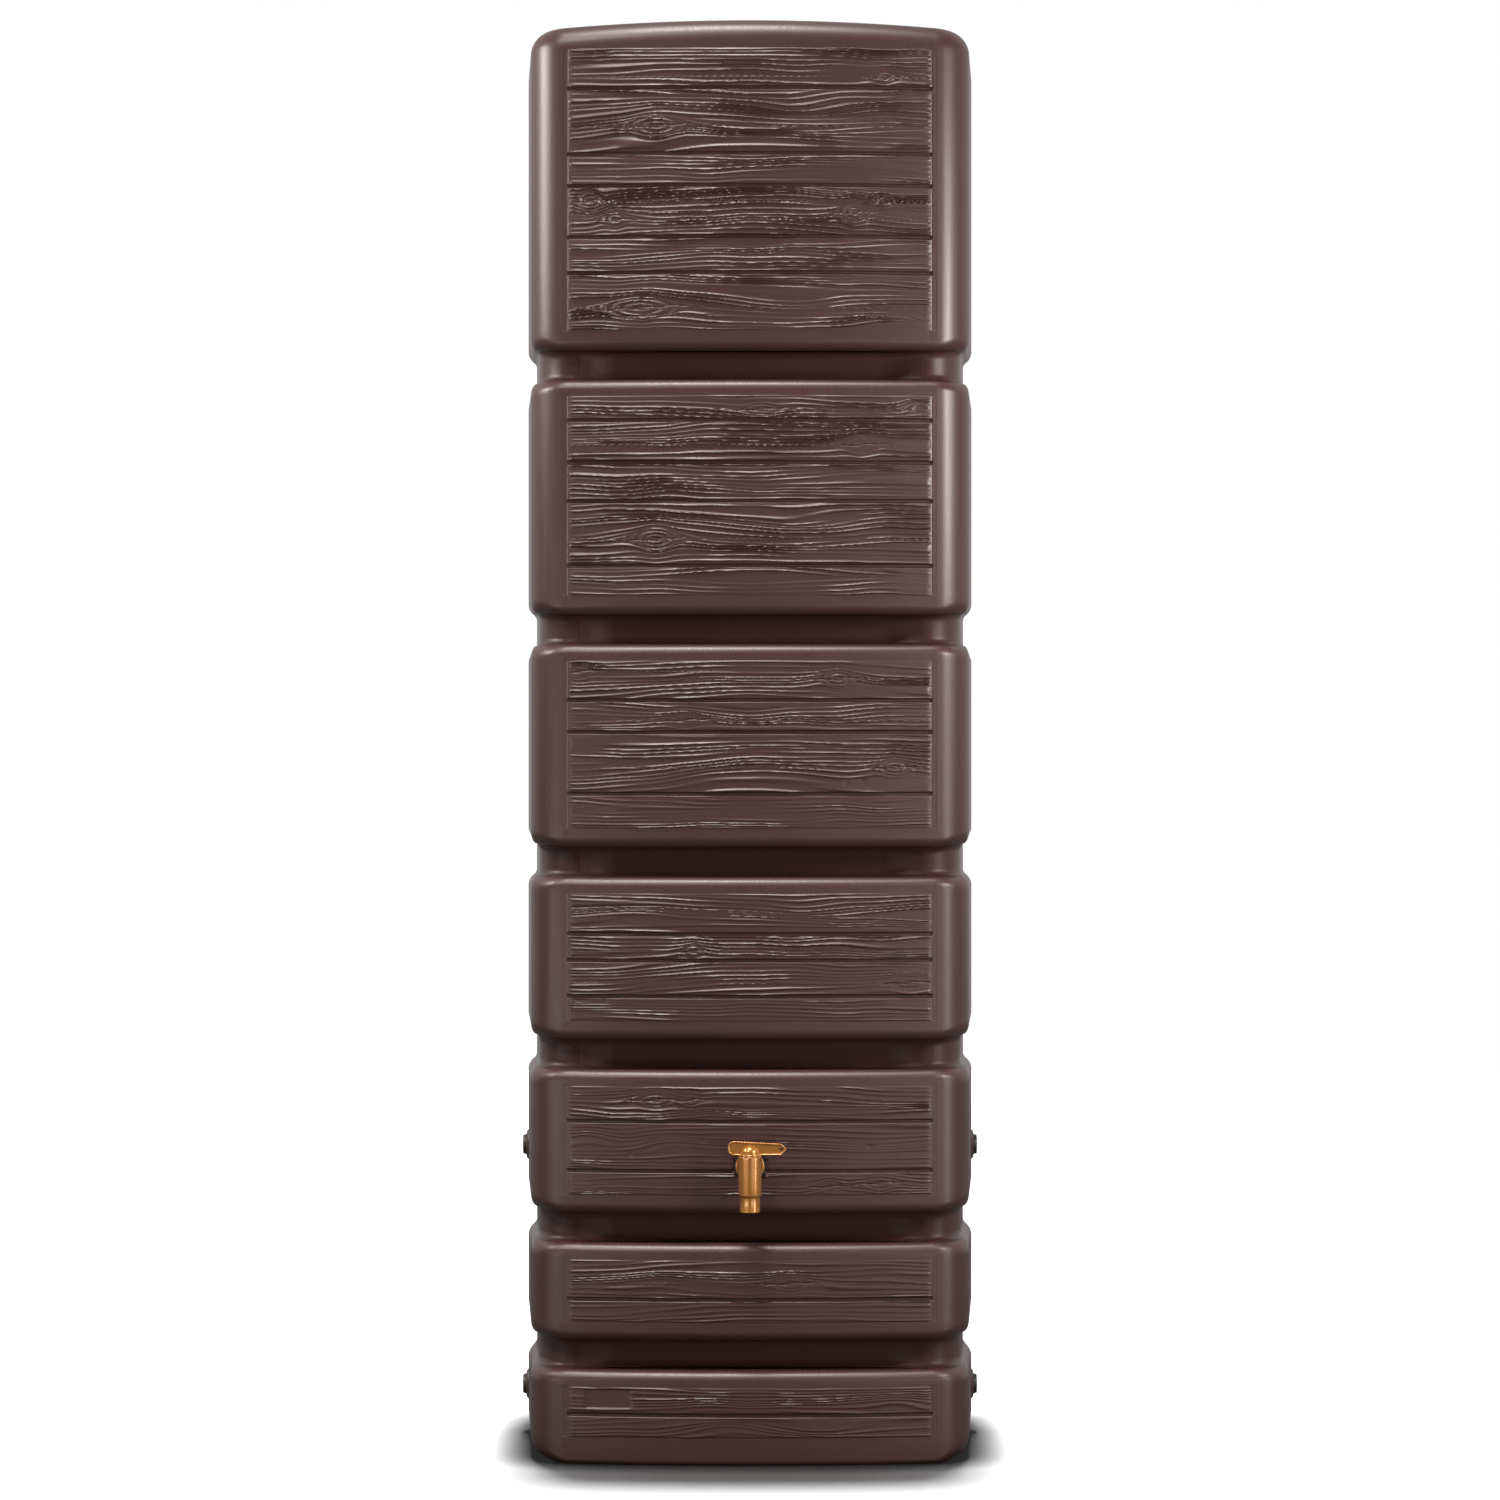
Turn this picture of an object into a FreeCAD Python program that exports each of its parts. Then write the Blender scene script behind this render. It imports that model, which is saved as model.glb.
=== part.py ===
import FreeCAD, Part
import math
import os
import re
import Sketcher

# A slimline wall tank for rainwater, 1.8 m tall, blow moulded in one piece.
# Seven blocks stand on one another with a waist between each pair, and every block has a
# panel of planks on its front. A tap screws into the fifth block from the top, four side
# ports are closed by plugs, and a lid covers the filler neck. X runs across the front,
# Y to the back and Z up, from the middle of the base. All lengths are millimetres.

V = FreeCAD.Vector

DRIVING = {
    # Tank in plan
    "side_width": 581,
    "front_width": 548,
    "back_width": 562,
    "depth": 400,
    "parting": 60,
    "front_radius": 1770,
    "corner_radius": 50,
    "wall": 5,
    # Blocks, numbered from the top, and the waists between them
    "block_1_height": 411,
    "block_2_height": 290,
    "block_3_height": 250,
    "block_4_height": 200,
    "block_5_height": 176,
    "block_6_height": 118,
    "block_7_height": 118,
    "waist_height": 41,
    "lip_radius": 18,
    "top_lip_radius": 28,
    "base_lip_radius": 32,
    "crown_radius": 3800,
    # Waist in plan, set in from the blocks
    "waist_inset": 11,
    "waist_corner_inset": 25,
    "waist_front_inset": 43,
    "waist_corner_radius": 40,
    "recess_margin": 63,
    "recess_slope": 30,
    "recess_radius": 18,
    # Plank panels
    "panel_side_margin": 45,
    "panel_margin": 20,
    "top_panel_margin": 38,
    "base_panel_margin": 35,
    "panel_recess": 1.5,
    "plank_gap": 4.4,
    "plank_gap_floor": 2,
    "plank_gap_depth": 3,
    # Filler neck and lid
    "mouth_diameter": 160,
    "neck_wall": 5,
    "neck_height": 9,
    "neck_root": 15,
    "mouth_offset": 15,
    "lid_thickness": 3,
    "lid_skirt": 8,
    "lid_gap": 0.4,
    "lid_rounding": 2.5,
    # Side ports
    "port_bore": 20.2,
    "port_insert_diameter": 28,
    "port_insert_length": 24,
    "boss_foot_diameter": 41,
    "boss_diameter": 35,
    "boss_rise": 2.2,
    "upper_port_rise": 59,
    "lower_port_rise": 63,
    "plug_head_diameter": 26,
    "plug_head_top": 24.5,
    "plug_head_height": 3.4,
    "plug_shank": 16,
    "plug_wall": 2.5,
    "port_seal_diameter": 27,
    "port_seal_thickness": 1.2,
    "thread_gap": 0.1,
    # Tap inlet
    "tap_rise": 57,
    "tap_seat_depth": 2.4,
    "tap_seat_diameter": 42,
    "tap_bore": 24.6,
    "tap_insert_diameter": 33,
    "tap_insert_length": 24,
    "tap_boss_diameter": 46,
    "tap_seal_diameter": 40,
    "tap_seal_thickness": 3,
    "flange_diameter": 36,
    "flange_thickness": 4,
    "tap_reach": 36,
    "tap_neck_diameter": 25,
    "waterway": 13,
    # Tap barrel and valve
    "barrel_diameter": 30,
    "barrel_top": 15.5,
    "barrel_foot": 32,
    "outlet_diameter": 25.6,
    "outlet_end": 53.6,
    "outlet_bore": 18,
    "tap_bevel": 0.8,
    "valve_bore": 20,
    "valve_gap": 0.05,
    "valve_end": 16,
    "side_port": 12,
    "snap_reach": 0.6,
    "snap_height": 1.4,
    "snap_gap": 0.3,
    "ring_section": 1.8,
    "ring_gap": 0.2,
    "ring_place": 10.5,
    # Handle
    "collar_diameter": 29,
    "collar_height": 1.8,
    "rest_gap": 0.3,
    "hub_radius": 12.3,
    "blade_left": 28.2,
    "blade_right": 46.2,
    "blade_point": 7.7,
    "blade_height": 17.6,
    "blade_tip_height": 13.8,
    "blade_bevel": 4.4,
    "blade_thickness": 5,
    "rim_width": 1.7,
    "rim_rise": 1,
    "hole_diameter": 5,
    "hole_place": 38.5,
    # How far a cutter runs past the face it cuts
    "overcut": 1,
}

# Plank heights of each block from the top down. The lowest plank fills what is left.
PLANKS = {
    1: [50, 82, 40, 64, 45],
    2: [31, 53, 48, 81],
    3: [50, 40, 77],
    4: [51, 33, 45],
    5: [40, 65],
    6: [49.5],
    7: [34.9],
}
for block, heights in PLANKS.items():
    for plank, height in enumerate(heights, start=1):
        DRIVING[f"block_{block}_plank_{plank}"] = height

doc = FreeCAD.newDocument("slimline_water_tank")
sheet = doc.addObject("Spreadsheet::Sheet", "Sizes")
for row, (alias, value) in enumerate(DRIVING.items(), start=1):
    sheet.set(f"A{row}", alias)
    sheet.set(f"B{row}", str(value))
    sheet.setAlias(f"B{row}", alias)
doc.recompute()


def size(alias):
    """Value of one cell of the sheet."""
    return float(sheet.get(alias))


def bind(item, field, formula):
    """Ties a field to a formula in the sheet's words."""
    def cell(word):
        return f"Sizes.{word[0]}" if word[0] in DRIVING else word[0]
    item.setExpression(field, re.sub("[a-z][a-z_0-9]*", cell, formula))


# Places that several pieces share, as formulas in the sheet's words

BLOCKS = sorted(PLANKS)
LAST = BLOCKS[-1]


def block_bottom(block):
    below = [f"block_{lower}_height + waist_height" for lower in BLOCKS if lower > block]
    return " + ".join(below) or "0"


def block_top(block):
    return f"{block_bottom(block)} + block_{block}_height"


TANK_TOP = block_top(1)
TAP_BLOCK = 5
TAP_HEIGHT = f"{block_bottom(TAP_BLOCK)} + tap_rise"
TAP_SEAT = "tap_seat_depth - depth / 2"
TAP_AXIS = f"{TAP_SEAT} - tap_reach"
PORT_FACE = "side_width / 2 + boss_rise"
PORT_HEIGHTS = {
    "upper": f"{block_bottom(TAP_BLOCK)} + upper_port_rise",
    "lower": "lower_port_rise",
}
SIDES = {"left": -1, "right": 1}
NECK_TOP = f"{TANK_TOP} + neck_height"
TURN = {
    "Z": FreeCAD.Rotation(),
    "X": FreeCAD.Rotation(V(0, 1, 0), 90),
    "-X": FreeCAD.Rotation(V(0, 1, 0), -90),
    "Y": FreeCAD.Rotation(V(1, 0, 0), -90),
}


# Ways to make a solid

def place(item, at, axis="Z"):
    """Turns a solid's own Z to an axis and ties its place to the sheet."""
    item.Placement = FreeCAD.Placement(V(), TURN[axis])
    for letter, formula in zip("xyz", at):
        bind(item, f"Placement.Base.{letter}", formula)


def rod(name, diameter, length, at, axis="Z"):
    item = doc.addObject("Part::Cylinder", name)
    bind(item, "Radius", f"({diameter}) / 2")
    bind(item, "Height", length)
    place(item, at, axis)
    return item


def taper(name, foot, top, length, at, axis="Z"):
    item = doc.addObject("Part::Cone", name)
    bind(item, "Radius1", f"({foot}) / 2")
    bind(item, "Radius2", f"({top}) / 2")
    bind(item, "Height", length)
    place(item, at, axis)
    return item


def joined(name, items):
    item = doc.addObject("Part::MultiFuse", name)
    item.Shapes = items
    item.Refine = True
    return item


def cut(name, base, tools):
    """Takes the tools out of the base."""
    item = doc.addObject("Part::Cut", name)
    item.Base = base
    item.Tool = tools[0] if len(tools) == 1 else joined(f"{name}_tools", tools)
    item.Label = name
    return item


def softened(kind, name, base, reach, keep):
    """Rounds or bevels the edges of the base that keep() picks."""
    doc.recompute()
    item = doc.addObject(f"Part::{kind}", name)
    item.Base = base
    edges = enumerate(base.Shape.Edges, start=1)
    item.Edges = [(number, reach, reach) for number, edge in edges if keep(edge)]
    return item


def new_sketch(body, name, role):
    """A sketch on one of the body's own origin planes."""
    sketch = body.newObject("Sketcher::SketchObject", name)
    face = next(item for item in body.Origin.OriginFeatures if item.Role == role)
    sketch.AttachmentSupport = [(face, "")]
    sketch.MapMode = "FlatFace"
    return sketch


def fix_line(sketch, name, kind, edge, end, formula):
    """Ties one coordinate of a point to a formula, measured from the sketch's origin."""
    row = sketch.addConstraint(Sketcher.Constraint(kind, -1, 1, edge, end, 1))
    label = f"{name}_{kind[-1]}"
    sketch.renameConstraint(row, label)
    bind(sketch, f"Constraints.{label}", formula)


def fix_point(sketch, name, edge, end, across, up):
    fix_line(sketch, name, "DistanceX", edge, end, across)
    fix_line(sketch, name, "DistanceY", edge, end, up)


def bow(sketch, half_width, radius, centre):
    """Ties the arc that a sketch starts with: centre on the upright axis, radius and width."""
    sketch.addConstraint(Sketcher.Constraint("PointOnObject", 0, 3, -2))
    fix_line(sketch, "centre", "DistanceY", 0, 3, centre)
    row = sketch.addConstraint(Sketcher.Constraint("Radius", 0, sketch.Geometry[0].Radius))
    sketch.renameConstraint(row, "bow")
    bind(sketch, "Constraints.bow", radius)
    right, left = (2, 1) if sketch.Geometry[0].EndPoint.x > 0 else (1, 2)
    fix_line(sketch, "right", "DistanceX", 0, right, half_width)
    fix_line(sketch, "left", "DistanceX", 0, left, f"-({half_width})")


def polygon(sketch, points):
    """A closed outline through points given as pairs of formulas."""
    count = len(points)
    for corner in range(count):
        turn = 2 * math.pi * corner / count
        step = 2 * math.pi * (corner + 1) / count
        start = V(100 * math.cos(turn), 100 * math.sin(turn), 0)
        sketch.addGeometry(Part.LineSegment(start, V(100 * math.cos(step), 100 * math.sin(step), 0)))
    for corner, (across, up) in enumerate(points):
        sketch.addConstraint(Sketcher.Constraint("Coincident", corner, 2, (corner + 1) % count, 1))
        fix_point(sketch, f"point_{corner}", corner, 1, across, up)


def pad(body, sketch, name, length, middle=False):
    item = body.newObject("PartDesign::Pad", name)
    item.Profile = sketch
    item.Midplane = middle
    bind(item, "Length", length)
    return item


def dress(body, kind, name, reach, keep):
    """Rounds or bevels the edges of the body's tip that keep() picks, by a sheet formula."""
    doc.recompute()
    base = body.Tip
    edges = enumerate(base.Shape.Edges, start=1)
    item = body.newObject(f"PartDesign::{kind}", name)
    item.Base = (base, [f"Edge{number}" for number, edge in edges if keep(edge)])
    bind(item, {"Fillet": "Radius", "Chamfer": "Size"}[kind], reach)
    return item


def upright(edge):
    first, last = edge.Vertexes[0].Point, edge.Vertexes[-1].Point
    return abs(first.x - last.x) + abs(first.y - last.y) < 0.01 and abs(first.z - last.z) > 1


# Tank shell: the skin and the hollow inside it have the same make, one wall apart

def plan_of_block(body, inset):
    """Plan of a block: widest on the mould's parting line, with a bowed front and a flat back."""
    sketch = new_sketch(body, f"{body.Name}_plan", "XY_Plane")
    thick = size("wall") if inset else 0
    side = size("side_width") / 2 - thick
    front = size("front_width") / 2 - thick
    back = size("back_width") / 2 - thick
    rear = size("depth") / 2 - thick
    part = size("parting")
    radius = size("front_radius") - thick
    centre = radius - rear
    swing = math.asin(front / radius)
    line = centre - radius * math.cos(swing)
    down = -math.pi / 2
    circle = Part.Circle(V(0, centre, 0), V(0, 0, 1), radius)
    sketch.addGeometry(Part.ArcOfCircle(circle, down - swing, down + swing))
    corners = [V(front, line, 0), V(side, part, 0), V(back, rear, 0)]
    corners += [V(-back, rear, 0), V(-side, part, 0), V(-front, line, 0)]
    for first, last in zip(corners, corners[1:]):
        sketch.addGeometry(Part.LineSegment(first, last))
    count = len(corners)
    for edge in range(count):
        sketch.addConstraint(Sketcher.Constraint("Coincident", edge, 2, (edge + 1) % count, 1))
    away = f"- {inset}" if inset else ""
    half_side = f"side_width / 2 {away}"
    half_back = f"back_width / 2 {away}"
    half_depth = f"(depth / 2 {away})"
    bowed = f"(front_radius {away})"
    fix_point(sketch, "side_right", 2, 1, half_side, "parting")
    fix_point(sketch, "back_right", 3, 1, half_back, half_depth)
    fix_point(sketch, "back_left", 4, 1, f"-({half_back})", half_depth)
    fix_point(sketch, "side_left", 5, 1, f"-({half_side})", "parting")
    bow(sketch, f"front_width / 2 {away}", bowed, f"{bowed} - {half_depth}")
    return sketch


def crown(body, top, inset):
    """Pocket that leaves the top of a block as a low arch from side to side."""
    sketch = new_sketch(body, f"{body.Name}_arch", "XZ_Plane")
    thick = size("wall") if inset else 0
    radius = size("crown_radius") - thick
    half = size("side_width")
    level = size("block_1_height") - 2 * thick
    drop = radius - math.sqrt(radius ** 2 - half ** 2)
    swing = math.asin(half / radius)
    quarter = math.pi / 2
    circle = Part.Circle(V(0, level - radius, 0), V(0, 0, 1), radius)
    frame = [(-half, -drop), (-half, drop), (half, drop), (half, -drop)]
    corners = [V(across, level + up, 0) for across, up in frame]
    sketch.addGeometry(Part.ArcOfCircle(circle, quarter - swing, quarter + swing))
    for first, last in zip(corners, corners[1:]):
        sketch.addGeometry(Part.LineSegment(first, last))
    for joint in ((0, 2, 1, 1), (1, 2, 2, 1), (2, 2, 3, 1), (3, 2, 0, 1)):
        sketch.addConstraint(Sketcher.Constraint("Coincident", *joint))
    arched = f"(crown_radius - {inset})" if inset else "crown_radius"
    fix_point(sketch, "roof_left", 2, 1, "-side_width", f"{top} + lip_radius")
    fix_point(sketch, "roof_right", 3, 1, "side_width", f"{top} + lip_radius")
    bow(sketch, "side_width", arched, f"{top} - {arched}")
    pocket = body.newObject("PartDesign::Pocket", f"{body.Name}_crown")
    pocket.Profile = sketch
    pocket.Type = "ThroughAll"
    pocket.Midplane = True
    return pocket


def block_body(name, block, inset):
    """One block, or with an inset the hollow inside it."""
    body = doc.addObject("PartDesign::Body", name)
    away = f"- {inset}" if inset else ""
    tall = f"block_{block}_height - 2 * {inset}" if inset else f"block_{block}_height"
    bind(body, "Placement.Base.z", f"{block_bottom(block)} + {inset}" if inset else block_bottom(block))
    pad(body, plan_of_block(body, inset), f"{name}_pad", tall)
    if block == 1:
        crown(body, tall, inset)
    dress(body, "Fillet", f"{name}_corners", f"corner_radius {away}", upright)
    top = "top_lip_radius" if block == 1 else "lip_radius"
    foot = "base_lip_radius" if block == LAST else "lip_radius"
    middle = size(f"block_{block}_height") / 2

    def above(edge):
        return not upright(edge) and edge.BoundBox.ZMin > middle

    def below(edge):
        return not upright(edge) and edge.BoundBox.ZMax < middle

    kind = "Chamfer" if inset else "Fillet"
    dress(body, kind, f"{name}_top_lip", f"{top} {away}", above)
    dress(body, kind, f"{name}_foot_lip", f"{foot} {away}", below)
    return body


def core_body(name, inset):
    """The waists' core, with its shallow recess across the front, from end block to end block."""
    body = doc.addObject("PartDesign::Body", name)
    away = f"- {inset}" if inset else ""
    sketch = new_sketch(body, f"{name}_plan", "XY_Plane")
    half_back = f"back_width / 2 - waist_inset {away}"
    half_side = f"side_width / 2 - waist_inset {away}"
    half_front = f"front_width / 2 - waist_inset {away}"
    rear = f"depth / 2 - waist_inset {away}"
    corner_line = f"-(depth / 2 - waist_corner_inset {away})"
    middle_line = f"-(depth / 2 - waist_front_inset {away})"
    slope_head = f"{half_front} - recess_margin"
    slope_foot = f"{slope_head} - recess_slope"
    right = [
        (slope_foot, middle_line),
        (slope_head, corner_line),
        (half_front, corner_line),
        (half_side, "parting"),
        (half_back, rear),
    ]
    left = [(f"-({across})", up) for across, up in reversed(right)]
    polygon(sketch, right + left)
    foot = f"block_{LAST}_height / 2"
    bind(body, "Placement.Base.z", foot)
    pad(body, sketch, f"{name}_pad", f"{block_bottom(1)} + block_1_height / 2 - {foot}")
    recess_end = size("front_width") / 2 - size("waist_inset") - size("recess_margin") + 1

    def corner(edge):
        return upright(edge) and abs(edge.CenterOfMass.x) > recess_end

    def slope(edge):
        middle = edge.CenterOfMass
        return upright(edge) and abs(middle.x) < recess_end and middle.y < 0

    dress(body, "Fillet", f"{name}_corners", f"waist_corner_radius {away}", corner)
    dress(body, "Fillet", f"{name}_recess", "recess_radius", slope)
    return body


def shell_parts(prefix, inset):
    blocks = [block_body(f"{prefix}_{block}", block, inset) for block in BLOCKS]
    return blocks + [core_body(f"{prefix}_core", inset)]


def plank_gaps():
    """Cutters for the plank panels: each a comb swept round the bowed front of its block."""
    radius = size("front_radius")
    axis_line = radius - size("depth") / 2
    half_panel = size("front_width") / 2 - size("panel_side_margin")
    swing = math.degrees(math.asin(half_panel / radius))
    start = -size("depth") / 2
    outside = start - size("overcut")
    floor = start + size("panel_recess")
    deep = floor + size("plank_gap_depth")
    half_gap = size("plank_gap") / 2
    half_floor = size("plank_gap_floor") / 2
    combs = []
    level = 0
    for block in reversed(BLOCKS):
        low = level + size("base_panel_margin" if block == LAST else "panel_margin")
        level += size(f"block_{block}_height")
        seam = level - size("top_panel_margin" if block == 1 else "panel_margin")
        level += size("waist_height")
        teeth = [(outside, seam), (floor, seam)]
        for plank in range(1, len(PLANKS[block]) + 1):
            seam -= size(f"block_{block}_plank_{plank}")
            teeth += [
                (floor, seam + half_gap),
                (deep, seam + half_floor),
                (deep, seam - half_floor),
                (floor, seam - half_gap),
            ]
        teeth += [(floor, low), (outside, low)]
        outline = Part.makePolygon([V(0, y, z) for y, z in teeth + teeth[:1]])
        outline.rotate(V(0, axis_line, 0), V(0, 0, 1), -swing)
        combs.append(Part.Face(outline).revolve(V(0, axis_line, 0), V(0, 0, 1), 2 * swing))
    item = doc.addObject("Part::Feature", "plank_gaps")
    item.Shape = Part.makeCompound(combs)
    return item


def tank_body():
    """The one-piece shell with its neck, ports, tap seat and plank panels."""
    skin = joined("skin", shell_parts("skin_block", ""))
    hollow = joined("hollow", shell_parts("hollow_block", "wall"))
    shell = cut("shell", skin, [hollow])
    neck = rod("neck", "mouth_diameter + 2 * neck_wall", "neck_height + neck_root",
               ("0", "mouth_offset", f"{TANK_TOP} - neck_root"))
    mouth = rod("mouth", "mouth_diameter", "neck_height + 2 * neck_root + overcut",
                ("0", "mouth_offset", f"{TANK_TOP} - 2 * neck_root"))
    added = [shell, neck]
    taken = [mouth, plank_gaps()]
    for level, height in PORT_HEIGHTS.items():
        for side, sign in SIDES.items():
            axis = "X" if sign > 0 else "-X"
            name = f"{side}_{level}"
            root = f"{PORT_FACE} - port_insert_length"
            added.append(taper(f"boss_{name}", "boss_foot_diameter", "boss_diameter",
                               "port_insert_length", (f"{sign} * ({root})", "parting", height),
                               axis))
            taken.append(rod(f"bore_{name}", "port_insert_diameter", "port_insert_length + 2 * wall",
                             (f"{sign} * ({root} - wall)", "parting", height), axis))
    added.append(rod("tap_boss", "tap_boss_diameter",
                     "tap_insert_length + tap_seat_depth - panel_recess",
                     ("0", "panel_recess - depth / 2", TAP_HEIGHT), "Y"))
    taken.append(rod("tap_seat", "tap_seat_diameter", "tap_seat_depth + overcut",
                     ("0", "-depth / 2 - overcut", TAP_HEIGHT), "Y"))
    taken.append(rod("tap_hole", "tap_insert_diameter", "tap_insert_length + 2 * wall",
                     ("0", f"{TAP_SEAT} - wall", TAP_HEIGHT), "Y"))
    return cut("tank_body", joined("shell_with_bosses", added), taken)


# Threaded inserts, plugs and seals of the four side ports

def port_pieces(side, sign, level, height):
    """A brass insert flush with its boss, a flat seal on it, and a hollow plug screwed in."""
    outward = "X" if sign > 0 else "-X"
    inward = "-X" if sign > 0 else "X"
    name = f"{side}_{level}"

    def at(depth):
        return (f"{sign} * ({PORT_FACE} - ({depth}))", "parting", height)

    insert = rod(f"insert_blank_{name}", "port_insert_diameter - 2 * thread_gap",
                 "port_insert_length", at("0"), inward)
    thread = rod(f"insert_bore_{name}", "port_bore",
                 "port_insert_length + 2 * overcut", at("-overcut"), inward)
    seal = rod(f"seal_blank_{name}", "port_seal_diameter",
               "port_seal_thickness", at("0"), outward)
    eye = rod(f"seal_bore_{name}", "port_bore",
              "port_seal_thickness + 2 * overcut", at("overcut"), outward)
    head = taper(f"plug_head_{name}", "plug_head_diameter", "plug_head_top",
                 "plug_head_height", at("-port_seal_thickness"), outward)
    shank = rod(f"plug_shank_{name}", "port_bore - 2 * thread_gap",
                "plug_shank + port_seal_thickness", at("-port_seal_thickness"), inward)
    hollow = rod(f"plug_hollow_{name}", "port_bore - 2 * thread_gap - 2 * plug_wall",
                 "plug_shank + plug_wall", at("plug_wall - port_seal_thickness"), inward)
    return [
        cut(f"port_insert_{name}", insert, [thread]),
        cut(f"port_seal_{name}", seal, [eye]),
        cut(f"port_plug_{name}", joined(f"plug_{name}", [head, shank]), [hollow]),
    ]


# Tap, from the insert in the wall to the handle

def on_spigot(reach):
    """A place on the tap's level axis, measured inward from its seat on the front."""
    return ("0", f"{TAP_SEAT} + ({reach})", TAP_HEIGHT)


def tap_inlet():
    """The insert in the front wall and the flat seal under the tap's flange."""
    insert = rod("tap_insert_blank", "tap_insert_diameter - 2 * thread_gap",
                 "tap_insert_length", on_spigot("0"), "Y")
    thread = rod("tap_insert_bore", "tap_bore",
                 "tap_insert_length + 2 * overcut", on_spigot("-overcut"), "Y")
    seal = rod("tap_seal_blank", "tap_seal_diameter",
               "tap_seal_thickness", on_spigot("-tap_seal_thickness"), "Y")
    eye = rod("tap_seal_bore", "tap_bore", "tap_seal_thickness + 2 * overcut",
              on_spigot("-tap_seal_thickness - overcut"), "Y")
    return [cut("tap_insert", insert, [thread]), cut("tap_seal", seal, [eye])]


def on_barrel(rise):
    """A place on the barrel's upright axis, measured from the spigot's axis."""
    return ("0", TAP_AXIS, f"{TAP_HEIGHT} + ({rise})")


def tap_body():
    """One moulding: threaded spigot, flange, neck, upright barrel and hose outlet."""
    solid = [
        rod("barrel", "barrel_diameter", "barrel_top + barrel_foot", on_barrel("-barrel_foot")),
        rod("outlet", "outlet_diameter", "outlet_end", on_barrel("-outlet_end")),
        rod("tap_neck", "tap_neck_diameter", "tap_reach - tap_seal_thickness",
            on_spigot("-tap_reach"), "Y"),
        rod("flange", "flange_diameter", "flange_thickness",
            on_spigot("-tap_seal_thickness - flange_thickness"), "Y"),
        rod("spigot", "tap_bore - 2 * thread_gap", "tap_seal_thickness + tap_insert_length",
            on_spigot("-tap_seal_thickness"), "Y"),
    ]
    hollow = [
        rod("valve_seat", "valve_bore", "barrel_top + valve_end - snap_height + overcut",
            on_barrel("snap_height - valve_end")),
        rod("snap_groove", "valve_bore + 2 * snap_reach + 2 * snap_gap",
            "snap_height + 2 * snap_gap", on_barrel("-valve_end - snap_gap")),
        rod("outlet_bore", "outlet_bore", "outlet_end - valve_end + 2 * overcut",
            on_barrel("-outlet_end - overcut")),
        rod("inlet_bore", "waterway", "tap_reach + tap_insert_length + overcut",
            on_spigot("-tap_reach"), "Y"),
    ]
    moulding = joined("tap_moulding", solid)
    bevelled = softened("Chamfer", "tap_moulding_bevelled", moulding, size("tap_bevel"),
                        lambda edge: edge.BoundBox.ZLength < 0.01)
    return cut("tap_body", bevelled, hollow)


def valve():
    """The turning piece, plug to blade in one moulding, and the two rings on its plug."""
    collar_foot = "barrel_top + rest_gap"
    hub_foot = f"{collar_foot} + collar_height"
    shaft = "valve_bore - 2 * valve_gap"
    groove_floor = f"{shaft} - 2 * ring_section"
    hub = doc.addObject("Part::Sphere", "hub")
    bind(hub, "Radius", "hub_radius")
    hub.Angle1 = 0
    place(hub, on_barrel(hub_foot))
    solid = [
        rod("shaft", shaft, f"{collar_foot} + valve_end", on_barrel("-valve_end")),
        rod("snap_bead", "valve_bore + 2 * snap_reach", "snap_height", on_barrel("-valve_end")),
        rod("collar", "collar_diameter", "collar_height", on_barrel(collar_foot)),
        hub,
        blade(hub_foot),
    ]
    hollow = [
        rod("valve_waterway", "waterway", "valve_end + waterway / 2 + overcut",
            on_barrel("-valve_end - overcut")),
        rod("valve_port", "side_port", "valve_bore", on_barrel("0"), "-X"),
    ]
    rings = []
    for level, sign in (("upper", 1), ("lower", -1)):
        foot = f"{sign} * ring_place - ring_section / 2"
        groove = rod(f"groove_blank_{level}", "valve_bore + overcut",
                     "ring_section + 2 * ring_gap", on_barrel(f"{foot} - ring_gap"))
        floor = rod(f"groove_floor_{level}", groove_floor,
                    "ring_section + 2 * overcut", on_barrel(f"{foot} - overcut"))
        hollow.append(cut(f"ring_groove_{level}", groove, [floor]))
        ring = rod(f"ring_blank_{level}", shaft, "ring_section", on_barrel(foot))
        eye = rod(f"ring_eye_{level}", groove_floor,
                  "ring_section + 2 * overcut", on_barrel(f"{foot} - overcut"))
        rings.append(cut(f"valve_ring_{level}", ring, [eye]))
    return [cut("tap_handle", joined("handle_moulding", solid), hollow)] + rings


def blade_outline(body, name, inset):
    """Round left end, level foot and a top that falls to a blunt point at the right."""
    sketch = new_sketch(body, name, "XZ_Plane")
    away = f"- {inset}" if inset else ""
    plus = f"+ {inset}" if inset else ""
    polygon(sketch, [
        (f"blade_bevel - blade_left {plus}", f"0 {plus}"),
        (f"blade_right - blade_point {away}", f"0 {plus}"),
        (f"blade_right {away}", "blade_tip_height / 2"),
        (f"blade_right - blade_point {away}", f"blade_tip_height {away}"),
        (f"blade_bevel - blade_left {plus}", f"blade_height {away}"),
        (f"-blade_left {plus}", f"blade_height - blade_bevel {away}"),
        (f"-blade_left {plus}", f"blade_bevel {plus}"),
    ])
    return sketch


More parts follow.
